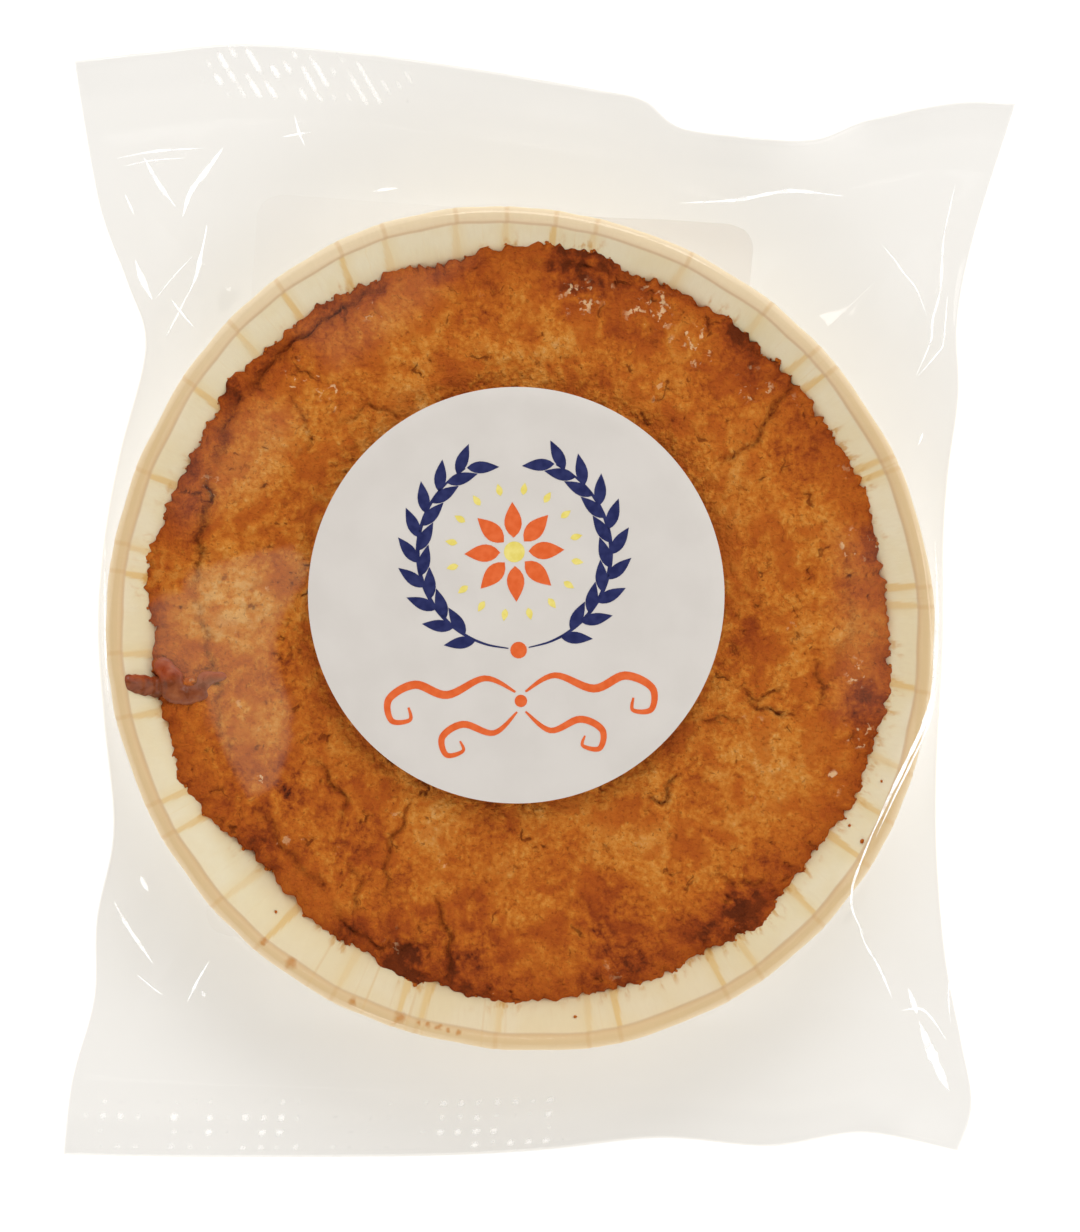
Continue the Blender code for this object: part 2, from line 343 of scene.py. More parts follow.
class Nodes:
    """Short calls that add nodes to one tree. A value is a number, a tuple or a node's output."""

    def __init__(self, tree):
        self.tree = tree

    def feed(self, socket, value):
        if isinstance(value, bpy.types.NodeSocket):
            self.tree.links.new(value, socket)
        else:
            socket.default_value = value

    def add(self, kind, inputs=None, output=0, **settings):
        """One node with its settings, its inputs by name or number, and the output that is wanted."""
        node = self.tree.nodes.new(kind)
        for name, value in settings.items():
            setattr(node, name, value)
        for key, value in (inputs or {}).items():
            self.feed(node.inputs[key], value)
        return node.outputs[output] if len(node.outputs) else node

    def math(self, operation, *values):
        return self.add("ShaderNodeMath", dict(enumerate(values)), operation=operation)

    def times(self, first, *others):
        for other in others:
            first = self.math("MULTIPLY", first, other)
        return first

    def plus(self, a, b):
        return self.math("ADD", a, b)

    def minus(self, a, b):
        return self.math("SUBTRACT", a, b)

    def over(self, a, b):
        return self.math("DIVIDE", a, b)

    def times_plus(self, a, b, c):
        """a times b, plus c."""
        return self.math("MULTIPLY_ADD", a, b, c)

    def larger(self, a, b):
        return self.math("MAXIMUM", a, b)

    def smaller(self, a, b):
        return self.math("MINIMUM", a, b)

    def vector(self, operation, *values):
        return self.add("ShaderNodeVectorMath", dict(enumerate(values)), operation=operation)

    def scaled(self, vector, factor):
        return self.add("ShaderNodeVectorMath", {0: vector, 3: factor}, operation="SCALE")

    def length(self, vector):
        return self.add("ShaderNodeVectorMath", {0: vector}, output=1, operation="LENGTH")

    def distance(self, a, b):
        return self.add("ShaderNodeVectorMath", {0: a, 1: b}, output=1, operation="DISTANCE")

    def combine(self, x, y, z):
        return self.add("ShaderNodeCombineXYZ", {0: x, 1: y, 2: z})

    def separate(self, vector):
        node = self.add("ShaderNodeSeparateXYZ", {0: vector}).node
        return node.outputs[0], node.outputs[1], node.outputs[2]

    def span(self, value, start, end, low=0.0, high=1.0):
        """A smooth step from low at start to high at end."""
        inputs = {0: value, 1: start, 2: end, 3: low, 4: high}
        return self.add("ShaderNodeMapRange", inputs, interpolation_type="SMOOTHSTEP")

    def noise(self, vector, size, detail=2.0, roughness=0.5, output=0):
        """Cloudy noise with features of this size in the vector's own unit."""
        inputs = {"Vector": vector, "Scale": 1 / size, "Detail": detail, "Roughness": roughness}
        return self.add("ShaderNodeTexNoise", inputs, output=output)

    def cells(self, vector, size, feature="F1", output=0, smoothness=0.5):
        inputs = {"Vector": vector, "Scale": 1 / size}
        if feature == "SMOOTH_F1":
            inputs["Smoothness"] = smoothness
        return self.add("ShaderNodeTexVoronoi", inputs, output=output, feature=feature)

    def mix(self, factor, a, b, blend="MIX"):
        """Two colours mixed."""
        inputs = {0: factor, 6: a, 7: b}
        return self.add("ShaderNodeMix", inputs, output=2, data_type="RGBA", blend_type=blend)

    def ramp(self, value, stops):
        """A colour for a number, from pairs of places and colours."""
        node = self.add("ShaderNodeValToRGB", {0: value}).node
        elements = node.color_ramp.elements
        while len(elements) < len(stops):
            elements.new(0.5)
        for element, (place, color) in zip(elements, stops):
            element.position = place
            element.color = (*color, 1.0)
        return node.outputs[0]

    def number(self, label):
        """A named number on the mesh, in a shader or in a geometry tree."""
        if self.tree.type == "GEOMETRY":
            return self.add("GeometryNodeInputNamedAttribute", {"Name": label}, data_type="FLOAT")
        return self.add("ShaderNodeAttribute", output=2, attribute_name=label)

    def drift(self, vector, size):
        """A cloudy vector about zero, with features of this size."""
        return self.vector("SUBTRACT", self.noise(vector, size, output=1), (0.5, 0.5, 0.5))

    def warped(self, vector, size, reach):
        """The vector pushed about by noise of this size, by up to half this reach."""
        return self.vector("ADD", vector, self.scaled(self.drift(vector, size), reach))


class MaterialTree(Nodes):
    """A material's node tree, with the place in the object's own millimetres, which ends in its finish."""

    def __init__(self, name):
        self.material = bpy.data.materials.new(name)
        self.material.use_nodes = True
        super().__init__(self.material.node_tree)
        self.tree.nodes.clear()
        self.place = self.scaled(self.add("ShaderNodeTexCoord", output=3), 1 / MM)

    def principled(self, color, roughness, bump=None, specular=0.5):
        inputs = {"Base Color": color, "Roughness": roughness, "Specular IOR Level": specular}
        if bump is not None:
            inputs["Normal"] = bump
        return self.add("ShaderNodeBsdfPrincipled", inputs)

    def bump(self, height, strength, distance):
        return self.add("ShaderNodeBump", {"Strength": strength, "Distance": distance, "Height": height})

    def blend(self, share, first, second):
        """Two shaders mixed."""
        return self.add("ShaderNodeMixShader", {0: share, 1: first, 2: second})

    def finish(self, shader):
        output = self.tree.nodes.new("ShaderNodeOutputMaterial")
        self.feed(output.inputs["Surface"], shader)
        return self.material


class GeometryTree(Nodes):
    """A Geometry Nodes tree with named inputs for its sizes, which ends in its finish."""

    KINDS = {float: "NodeSocketFloat", int: "NodeSocketInt"}

    def __init__(self, name, sizes):
        super().__init__(bpy.data.node_groups.new(name, "GeometryNodeTree"))
        interface = self.tree.interface
        interface.new_socket("Geometry", in_out="INPUT", socket_type="NodeSocketGeometry")
        interface.new_socket("Material", in_out="INPUT", socket_type="NodeSocketMaterial")
        for label, value in sizes.items():
            kind = "NodeSocketObject" if value is None else self.KINDS[type(value)]
            socket = interface.new_socket(label, in_out="INPUT", socket_type=kind)
            if value is not None:
                socket.default_value = value
        interface.new_socket("Geometry", in_out="OUTPUT", socket_type="NodeSocketGeometry")
        self.inputs = self.tree.nodes.new("NodeGroupInput").outputs
        self.position = self.add("GeometryNodeInputPosition")
        self.place = self.scaled(self.position, 1 / MM)

    def finish(self, geometry):
        """Ends the tree with real meshes and the named material."""
        real = self.add("GeometryNodeRealizeInstances", {0: geometry})
        done = self.add("GeometryNodeSetMaterial", {"Geometry": real, "Material": self.inputs["Material"]})
        self.feed(self.tree.nodes.new("NodeGroupOutput").inputs[0], done)
        return self.tree

    def moved(self, geometry, offset):
        return self.add("GeometryNodeSetPosition", {"Geometry": geometry, "Offset": offset})

    def put(self, geometry, position):
        return self.add("GeometryNodeSetPosition", {"Geometry": geometry, "Position": position})

    def stored(self, geometry, label, value):
        """The geometry with a named number on its points."""
        inputs = {0: geometry, "Name": label, "Value": value}
        return self.add("GeometryNodeStoreNamedAttribute", inputs, data_type="FLOAT", domain="POINT")


def shape_with(shaped, tree, material, **values):
    """Runs a geometry tree on an object with these inputs, and keeps the result as a plain mesh."""
    values["Material"] = material
    modifier = shaped.modifiers.new(tree.name, "NODES")
    modifier.node_group = tree
    for item in tree.interface.items_tree:
        if item.in_out == "INPUT" and item.name in values:
            modifier[item.identifier] = values[item.name]
    graph = bpy.context.evaluated_depsgraph_get()
    evaluated = shaped.evaluated_get(graph)
    mesh = bpy.data.meshes.new_from_object(evaluated, preserve_all_data_layers=True, depsgraph=graph)
    mesh.name = shaped.name
    shaped.modifiers.clear()
    shaped.data = mesh
    return shaped


# The film bag

ACROSS_COLUMNS = 320
ALONG_COLUMNS = 84
SEAL_ROWS = 22
ROLL_ANGLES = (130, 110, 90, 70, 50, 32, 16, 0)
SKIRT_RINGS = 34
CRIMP_ROW_PITCH = 1.8
RIPPLE_SEED = 11
RIPPLE_COUNT = 14
RIPPLE_STEEPNESS = 0.0013
SEAL_EASE = 0.05


def body_border(plan):
    """Points round the bag's body, inside its seals, anticlockwise from the lower left."""
    first = plan.seal_share
    last = 1 - first
    across = np.arange(ACROSS_COLUMNS) / ACROSS_COLUMNS
    along = first + (last - first) * np.arange(ALONG_COLUMNS) / ALONG_COLUMNS
    shares_across = np.concatenate((across, np.ones(ALONG_COLUMNS), 1 - across, np.zeros(ALONG_COLUMNS)))
    shares_along = np.concatenate(
        (np.full(ACROSS_COLUMNS, first), along, np.full(ACROSS_COLUMNS, last), 1 - along)
    )
    return plan.points(shares_across, shares_along)


def ripple_rise(points, radius):
    """Broad soft waves in the slack film, flat under the label and where it lies on the rim."""
    random = np.random.default_rng(RIPPLE_SEED)
    rise = np.zeros(points.shape[:-1])
    for _ in range(RIPPLE_COUNT):
        wavelength = random.uniform(16.0, 34.0)
        heading = random.uniform(0.0, np.pi)
        phase = random.uniform(0.0, 2 * np.pi)
        direction = np.array((math.cos(heading), math.sin(heading)))
        rise += RIPPLE_STEEPNESS * wavelength * np.sin(points @ direction * 2 * np.pi / wavelength + phase)
    clear_of_label = smooth_step(reach_from(LABEL_CENTRE, points), LABEL_RADIUS - 1, LABEL_RADIUS + 9)
    clear_of_rim = np.clip(abs(radius - RIM_RADIUS) / 4.0, 0.0, 1.0)
    return rise * clear_of_label * clear_of_rim


def film_tree():
    """The crimp, as slanting ribs in the upper seal and dots in the lower, and the film's crinkle."""
    sizes = {"Rib Pitch": 1.9, "Dot Pitch": 2.2, "Crimp Depth": 0.015, "Crinkle Depth": 0.1}
    tree = GeometryTree("Film crimp", sizes)
    across = tree.number("across")
    rows = tree.number("rows")

    def wave(value):
        return tree.math("COSINE", tree.times(value, 2 * math.pi))

    slant = tree.times_plus(rows, 0.45, tree.over(across, tree.inputs["Rib Pitch"]))
    ribs = tree.times(wave(slant), tree.span(rows, 0.9, 1.5))
    columns = tree.larger(wave(tree.over(across, tree.inputs["Dot Pitch"])), 0.0)
    dots = tree.times(columns, tree.larger(wave(rows), 0.0))
    _, y, _ = tree.separate(tree.position)
    is_upper = tree.math("GREATER_THAN", y, 0.0)
    pattern = tree.add("ShaderNodeMix", {0: is_upper, 2: dots, 3: ribs}, data_type="FLOAT")
    uneven = tree.span(tree.noise(tree.place, 2.6, 1.0), 0.42, 0.6, 0.1, 1.1)
    pattern = tree.times(pattern, uneven, tree.number("crimped"))
    crimp = tree.times(pattern, tree.inputs["Crimp Depth"])
    flat = tree.vector("MULTIPLY", tree.place, (1.0, 1.0, 0.0))
    facets = tree.cells(tree.warped(flat, 9.0, 5.0), 6.0, "SMOOTH_F1", smoothness=0.2)
    crinkle = tree.times(facets, tree.inputs["Crinkle Depth"], tree.number("loose"))
    lift = tree.times(tree.plus(crimp, crinkle), MM)
    moved = tree.moved(tree.inputs["Geometry"], tree.combine(0.0, 0.0, lift))
    return tree.finish(tree.stored(moved, "crimp", pattern))


# How strongly the crimp shows along each seal, in its relief and in its painted white highlights: places
# across the bag and shares
CRIMPED_ABOVE = ((-42.0, 0.0), (-39.0, 1.0), (-30.0, 1.0), (-24.0, 0.55), (-17.0, 0.5), (-14.0, 0.0))
CRIMPED_BELOW = (
    (-57.0, 0.0), (-55.0, 0.55), (-50.0, 0.6), (-48.5, 0.15), (-47.0, 0.15), (-45.5, 0.95), (-40.5, 0.9),
    (-38.0, 0.2), (-36.0, 0.75), (-31.0, 0.8), (-28.0, 0.25), (-26.0, 0.6), (-23.0, 0.15), (-15.0, 0.3),
    (-12.0, 0.8), (-3.0, 1.0), (2.0, 0.7), (4.0, 0.0),
)


class FilmForm:
    """The film's form round the case, from the crown out to the border of the bag's body."""

    def __init__(self):
        self.plan = Plan()
        self.border = body_border(self.plan)
        offset = self.border - CASE_CENTRE
        self.reach = np.linalg.norm(offset, axis=1)
        self.direction = offset / self.reach[:, None]
        headings = headings_of(self.border)
        self.shoulder = SHOULDER_RADIUS + rim_shift(headings)
        order = np.argsort(headings)
        self.headings = headings[order]
        self.reaches = self.reach[order]
        self.edges = edge_height(self.border)[order]
        crown_radii = np.linspace(0.0, DIP_RADIUS, 40)
        angles = np.radians(ROLL_ANGLES)
        self.profile_radii = np.concatenate((crown_radii, RIM_RADIUS + ROLL_RADIUS * np.cos(angles)))
        roll_heights = ROLL_HEIGHT + ROLL_RADIUS * np.sin(angles)
        self.profile_heights = np.concatenate((crown_height(crown_radii), roll_heights))

    def towards(self, points):
        """How far these points lie out, with the rim as a circle, and how far and high the border is."""
        heading = headings_of(points)
        shift = rim_shift(heading)
        radius = reach_from(CASE_CENTRE, points)
        radius = radius - shift * smooth_step(radius, 36.0, 47.0)
        reach = np.interp(heading, self.headings, self.reaches, period=2 * np.pi) - shift
        edge = np.interp(heading, self.headings, self.edges, period=2 * np.pi)
        return radius, reach, edge

    def skirt(self, points):
        """How far these points lie out, and the border's height, and how these stand on the skirt.

        The last three run from 0 at the rim to 1 at the border, from 1 to 0 just inside the border,
        and from 0 to 1 with the skirt's own width.
        """
        radius, reach, edge = self.towards(points)
        share = np.clip((radius - SHOULDER_RADIUS) / (reach - SHOULDER_RADIUS), 0.0, 1.0)
        fade = np.clip((1 - share) * 6.0, 0.0, 1.0)
        room = np.clip((reach - SHOULDER_RADIUS) / 8.0, 0.0, 1.0)
        return radius, edge, share, fade, room

    def top(self, points):
        """Height of the upper film at points of the plan."""
        radius, edge, share, fade, room = self.skirt(points)
        left = 1 - share - SLACK * share * (1 - share)
        fall = 1 - left**2 * (1 + SEAL_EASE) / (left + SEAL_EASE)
        height = np.interp(radius, self.profile_radii, self.profile_heights)
        height += (edge + FILM_HALF_GAP - ROLL_HEIGHT) * fall
        height += ridge_rise(points, FOLDS) * (1 - share) * smooth_step(share, 0.0, 0.12)
        wave = np.where(share > 0, 2.2 * room * fade, 1.0)
        creases = [(line, 0.35, 0.8) for line, _ in STREAKS]
        return height + wave * ripple_rise(points, radius) + ridge_rise(points, creases) * fade

    def looseness(self, points):
        """How free the film hangs there: 1 on a wide skirt, and 0 over the case and at the border."""
        _, _, share, fade, room = self.skirt(points)
        return np.clip(share * 8.0, 0.0, 1.0) * fade * room

    def underside(self, points):
        """Height of the lower film at points of the plan."""
        radius, reach, edge = self.towards(points)
        share = np.maximum(radius - FLOOR_RADIUS, 0.0) / (reach - FLOOR_RADIUS)
        return FILM_UNDERSIDE + (edge - FILM_HALF_GAP - FILM_UNDERSIDE) * share


def make_film(form, material):
    """Two layers of film over and under the case, joined at the bag's sides and in its seals."""
    plan = form.plan
    reach = form.reach
    points = []
    numbers = {label: [] for label in ("seal", "across", "rows", "crimped", "loose", "upper", "painted_reflection", "hem")}

    def add(plan_points, heights, **values):
        """Adds points to the film, with named numbers that are 0 where they aren't given."""
        start = sum(len(part) for part in points)
        plan_points = np.atleast_2d(plan_points)
        size = len(plan_points)
        points.append(np.column_stack((plan_points, np.broadcast_to(heights, size))))
        for label, store in numbers.items():
            store.append(np.broadcast_to(values.get(label, 0.0), size))
        return start + np.arange(size)

    crown_radii = (8.0, 15.0, 20.0, *np.arange(22.0, DIP_RADIUS + 0.1, 1.0))
    radii = [np.full(len(reach), radius) for radius in crown_radii]
    roll_radii = form.profile_radii[-len(ROLL_ANGLES):]
    radii += [form.shoulder + radius - SHOULDER_RADIUS for radius in roll_radii]
    skirt_shares = np.arange(1, SKIRT_RINGS + 1) / SKIRT_RINGS
    radii += [form.shoulder + (reach - form.shoulder) * share for share in skirt_shares]
    add(CASE_CENTRE, CROWN_HEIGHT, upper=1.0)
    rings = []
    for radius in radii:
        ring_points = CASE_CENTRE + form.direction * radius[:, None]
        painted_reflection = sum(
            strength * inside_outline(ring_points, outline, blur) for outline, blur, strength in PAINTED_REFLECTIONS
        )
        out = reach_from(CASE_CENTRE, ring_points) / reach
        hem = smooth_step(out, 0.8, 0.9) * smooth_step(abs(ring_points[:, 1]), 38.0, 46.0)
        values = {"loose": form.looseness(ring_points), "upper": 1.0, "painted_reflection": painted_reflection, "hem": hem}
        rings.append(add(ring_points, form.top(ring_points), **values))
    faces = fan_faces(0, rings[0])
    for inner, outer in zip(rings, rings[1:]):
        faces += ring_faces(inner, outer)
    upper_rim = rings[-1]

    middle_below = add(CASE_CENTRE, FILM_UNDERSIDE)
    radii = [np.full(len(reach), radius) for radius in (15.0, 30.0, FLOOR_RADIUS)]
    side_shares = (0.1, 0.25, 0.4, 0.55, 0.7, 0.85, 1.0)
    radii += [FLOOR_RADIUS + (reach - FLOOR_RADIUS) * share for share in side_shares]
    rings = []
    for radius in radii:
        ring_points = CASE_CENTRE + form.direction * radius[:, None]
        rings.append(add(ring_points, form.underside(ring_points)))
    faces += fan_faces(int(middle_below[0]), rings[0][::-1])
    for inner, outer in zip(rings, rings[1:]):
        faces += ring_faces(outer, inner)
    lower_rim = rings[-1]

    corner = ACROSS_COLUMNS
    top_start = ACROSS_COLUMNS + ALONG_COLUMNS
    right_side = np.arange(corner, top_start + 1)
    left_side = np.append(np.arange(top_start + ACROSS_COLUMNS, len(reach)), 0)
    for side in (right_side, left_side):
        faces += band_faces(lower_rim[side], upper_rim[side])
    lower_row = np.arange(0, ACROSS_COLUMNS + 1)
    upper_row = np.arange(top_start, top_start + ACROSS_COLUMNS + 1)[::-1]
    shares = np.arange(ACROSS_COLUMNS + 1) / ACROSS_COLUMNS
    for row, start_share, end_share, shown in (
        (lower_row, plan.seal_share, 0.0, CRIMPED_BELOW),
        (upper_row, 1 - plan.seal_share, 1.0, CRIMPED_ABOVE),
    ):
        is_upper = end_share > start_share
        crimped_x, crimped_share = np.transpose(shown)
        above = upper_rim[row]
        below = lower_rim[row]
        for step in range(1, SEAL_ROWS + 1):
            passed = step / SEAL_ROWS
            row_share = start_share + (end_share - start_share) * passed
            row_points = plan.points(shares, np.full(len(shares), row_share))
            height = edge_height(row_points)
            seal = min(1.0, 4 * passed, 6 * (1.02 - passed))
            values = {
                "seal": seal,
                "hem": float(smooth_step(passed, 0.7, 0.25)),
                "across": lengths_along(row_points),
                "rows": passed * SEAL_WIDTH / CRIMP_ROW_PITCH,
                "crimped": seal * np.interp(row_points[:, 0], crimped_x, crimped_share),
            }
            next_above = add(row_points, height + FILM_HALF_GAP, upper=1.0, **values)
            next_below = add(row_points, height - FILM_HALF_GAP, **values)
            for left, right in ((above, next_above), (next_below, below)):
                faces += band_faces(left, right) if is_upper else band_faces(right, left)
            for end in (0, -1):
                side = (below[end], above[end], next_above[end], next_below[end])
                turned = (end == 0) != is_upper
                faces.append([int(i) for i in (side if not turned else side[::-1])])
            above = next_above
            below = next_below
        faces += band_faces(above, below) if is_upper else band_faces(below, above)

    numbers = {label: np.concatenate(values) for label, values in numbers.items()}
    film = make_mesh("film", np.concatenate(points), faces, material, numbers)
    return shape_with(film, film_tree(), material)


def clear_film_material():
    """Glossy clear film: clear seen straight on, mirror-like at a slant, with a painted reflection in places
    and painted highlights on the crimp.
    """
    nodes = MaterialTree("clear_film")
    facing = nodes.math("POWER", nodes.add("ShaderNodeLayerWeight", {"Blend": 0.5}, output=1), 4.0)
    mirror = nodes.times_plus(facing, 0.55, 0.04)
    # Only the upper layer mirrors the room, less so beside the seals, and the pressed seals are duller
    mirror = nodes.times(mirror, nodes.span(nodes.number("upper"), 0.3, 0.7))
    mirror = nodes.times(mirror, nodes.span(nodes.number("hem"), 0.0, 1.0, 1.0, 0.15))
    seal = nodes.number("seal")
    gloss = nodes.add(
        "ShaderNodeBsdfGlossy", {"Color": (1, 1, 1, 1), "Roughness": nodes.times_plus(seal, 0.3, 0.08)}
    )
    clear = nodes.add("ShaderNodeBsdfTransparent", {"Color": (0.972, 0.963, 0.946, 1.0)})
    shader = nodes.blend(mirror, clear, gloss)
    # The crimp's raised dots and ribs get painted highlights, mixed in as white
    spots = nodes.span(nodes.number("crimp"), 0.05, 0.7, 0.0, 0.5)
    # Where the film stands off the crust, its reflection is painted in as a tinted white diffuse
    painted_reflection = nodes.number("painted_reflection")
    painted_light_share = nodes.times_plus(painted_reflection, 0.06, spots)
    tint = nodes.mix(painted_reflection, (0.97, 0.96, 0.94, 1.0), (0.97, 0.86, 0.62, 1.0))
    painted_light = nodes.add("ShaderNodeBsdfDiffuse", {"Color": tint, "Normal": nodes.combine(0.0, 0.0, 1.0)})
    # Painted glow: the crimp's painted highlights shine a little, where no reflection is painted
    shine = nodes.add("ShaderNodeEmission", {"Strength": nodes.span(painted_reflection, 0.0, 0.1, 0.2, 0.0)})
    painted_light = nodes.add("ShaderNodeAddShader", {0: painted_light, 1: shine})
    return nodes.finish(nodes.blend(painted_light_share, shader, painted_light))


# The film's folds, shown by white strips that are painted highlights

# Places where the film is folded sharply and catches the light, drawn as white strips of painted highlight:
# a line of points and its half width
STREAKS = (
    (((48.1, 7.0), (48.1, -1.0), (47.8, -7.2), (47.1, -12.9), (44.1, -19.7), (42.4, -23.2),
      (39.9, -28.7)), 0.3),
    (((40.6, -27.0), (38.3, -32.6), (37.7, -34.9), (37.9, -37.4), (39.4, -40.4)), 0.17),
    (((48.6, -6.0), (47.7, -13.0), (44.8, -19.5), (42.9, -23.4), (40.6, -28.4)), 0.12),
    (((38.6, -39.0), (39.6, -41.6), (41.4, -44.6), (43.2, -48.6)), 0.16),
    (((44.3, -50.0), (47.3, -50.2), (50.2, -54.0)), 0.14),
    (((46.6, -51.4), (48.2, -55.4), (50.6, -60.4)), 0.6),
    (((45.2, -47.3), (46.4, -50.6)), 0.3),
    (((-48.3, 54.3), (-46.4, 51.0), (-44.1, 47.9)), 0.3),
    (((-38.7, 55.6), (-40.6, 52.6), (-42.4, 49.8), (-43.2, 46.6)), 0.32),
    (((-51.6, 54.2), (-47.0, 55.1), (-41.0, 55.6)), 0.14),
    (((-50.6, 53.2), (-47.4, 53.9), (-43.4, 54.3)), 0.1),
    (((-40.2, 45.6), (-40.5, 43.2), (-41.2, 39.5), (-42.6, 36.6)), 0.24),
    (((-42.4, 37.2), (-43.7, 34.7), (-45.3, 32.2)), 0.12),
    (((-46.6, 37.0), (-44.2, 39.4), (-41.8, 41.6)), 0.1),
    (((-44.6, 36.6), (-43.0, 34.6), (-41.6, 33.0)), 0.12),
    (((-49.4, 41.8), (-48.6, 39.6), (-47.2, 36.8)), 0.34),
    (((41.9, 43.3), (44.2, 40.2), (46.2, 38.1), (47.7, 34.8)), 0.1),
    (((51.2, 51.0), (49.8, 45.0), (49.4, 38.3), (48.4, 34.4), (48.1, 31.7), (46.2, 27.5)), 0.16),
    (((50.4, 37.9), (49.8, 31.8), (48.9, 30.2), (46.4, 27.4)), 0.12),
    (((46.9, 20.4), (46.2, 18.8)), 0.2),
    (((17.4, 48.4), (24.3, 48.9), (30.8, 50.1), (37.6, 49.6)), 0.26),
    (((-52.0, -36.9), (-49.9, -40.3), (-46.9, -44.3)), 0.26),
    (((-48.4, -33.5), (-47.4, -35.4)), 0.3),
    (((-39.8, -43.7), (-41.2, -46.0), (-42.7, -48.9)), 0.2),
    (((-40.9, -47.4), (-40.5, -48.2)), 0.3),
    (((-49.0, -45.8), (-45.6, -48.0)), 0.12),
    (((-52.4, 7.0), (-52.0, -4.0), (-51.8, -13.0)), 0.12),
    (((-50.6, 49.8), (-49.4, 47.2)), 0.14),
    (((-20.0, 49.6), (-17.0, 50.0)), 0.22),
    (((52.0, -42.0), (50.6, -47.5), (50.8, -52.0)), 0.12),
    (((-30.0, 59.8), (-29.4, 57.6), (-28.6, 55.8)), 0.16),
    (((-31.4, 57.0), (-28.0, 57.6)), 0.14),
)


def fold_tree():
    """A flat strip along each line of points, widest in its middle and pointed at both ends."""
    tree = GeometryTree("Film folds", {"Strip Flatness": 0.07, "Strip Sides": 10})
    lines = tree.add("GeometryNodeMeshToCurve", {0: tree.inputs["Geometry"]})
    lines = tree.add("GeometryNodeSetCurveNormal", {0: lines}, mode="Z_UP")
    lines = tree.add("GeometryNodeResampleCurve", {"Curve": lines, "Length": 0.5 * MM}, mode="LENGTH")
    share = tree.add("GeometryNodeSplineParameter")
    swell = tree.math("POWER", tree.math("SINE", tree.times(share, math.pi)), 0.7)
    uneven = tree.span(tree.noise(tree.place, 2.5, 3.0), 0.3, 0.7, 0.45, 1.25)
    width = tree.larger(tree.times(tree.number("half_width"), tree.times(swell, uneven)), 0.015)
    inputs = {"Resolution": tree.inputs["Strip Sides"], "Radius": MM}
    ring = tree.add("GeometryNodeCurvePrimitiveCircle", inputs)
    flat = tree.combine(1.0, tree.inputs["Strip Flatness"], 1.0)
    ring = tree.add("GeometryNodeTransform", {"Geometry": ring, "Scale": flat})
    inputs = {"Curve": lines, "Profile Curve": ring, "Scale": width, "Fill Caps": True}
    strips = tree.add("GeometryNodeCurveToMesh", inputs)
    return tree.finish(tree.add("GeometryNodeSetShadeSmooth", {0: strips}))


def make_fold_highlights(form, material):
    """The streaks as lines of points on the upper film, which the tree makes into white strips of painted
    highlight.
    """
    points, edges, widths = [], [], []
    for line, half_width in STREAKS:
        run = smooth_run(line, 8) if len(line) > 2 else points_along(np.array(line), np.linspace(0, 1, 9))
        edges += [(len(points) + i, len(points) + i + 1) for i in range(len(run) - 1)]
        points += np.column_stack((run, form.top(run) + 0.08)).tolist()
        widths += [half_width] * len(run)
    fold_highlights = make_mesh("fold_highlights", points, [], material, {"half_width": widths}, edges=edges)
    return shape_with(fold_highlights, fold_tree(), material)


def fold_highlight_material():
    """Film folded over itself, painted white with a glow as a painted highlight, which lets some light
    through.
    """
    nodes = MaterialTree("folded_film")
    broken = nodes.noise(nodes.warped(nodes.place, 2.0, 1.5), 1.8, 3.0)
    white = nodes.add("ShaderNodeBsdfDiffuse", {"Color": (0.96, 0.96, 0.955, 1.0)})
    # Painted highlight: the white strips also glow a little
    glow = nodes.add("ShaderNodeEmission", {"Color": (1.0, 0.995, 0.985, 1.0), "Strength": 0.26})
    painted_light = nodes.add("ShaderNodeAddShader", {0: white, 1: glow})
    clear = nodes.add("ShaderNodeBsdfTransparent", {"Color": (1.0, 1.0, 1.0, 1.0)})
    return nodes.finish(nodes.blend(nodes.span(broken, 0.3, 0.6, 0.25, 0.9), clear, painted_light))


# The paper case

CASE_COLUMNS = 1440
PAPER_THICKNESS = 0.25
PAPER_TRANSLUCENCE = 0.15
WALL_TOP_RADIUS = 48.15
WALL_TOP_HEIGHT = 17.7
WALL_BASE_HEIGHT = 13.8
WALL_FLARE = 0.95
PLEAT_COUNT = 39


def wall_base(headings):
    """Radius at which the wall comes out from behind the crust's edge."""
    return round_curve(CRUST_REACH, headings, 5) - 1.3


def wall_radius(height, headings):
    """Radius of the wall's inner face at a height: it leans against the cake, and flares to the rim."""
    base = wall_base(headings)
    share = (height - WALL_BASE_HEIGHT) / (WALL_TOP_HEIGHT - WALL_BASE_HEIGHT)
    low = FLOOR_RADIUS + (base - FLOOR_RADIUS) * np.minimum(height / WALL_BASE_HEIGHT, 1.0)
    return low + (WALL_TOP_RADIUS + rim_shift(headings) - base) * np.maximum(share, 0.0) ** WALL_FLARE


def wall_height(radius, headings):
    """Height at which the wall's inner face reaches a radius."""
    base = wall_base(headings)
    share = np.clip((radius - base) / (WALL_TOP_RADIUS + rim_shift(headings) - base), 0.0, 1.0)
    return WALL_BASE_HEIGHT + (WALL_TOP_HEIGHT - WALL_BASE_HEIGHT) * share ** (1 / WALL_FLARE)


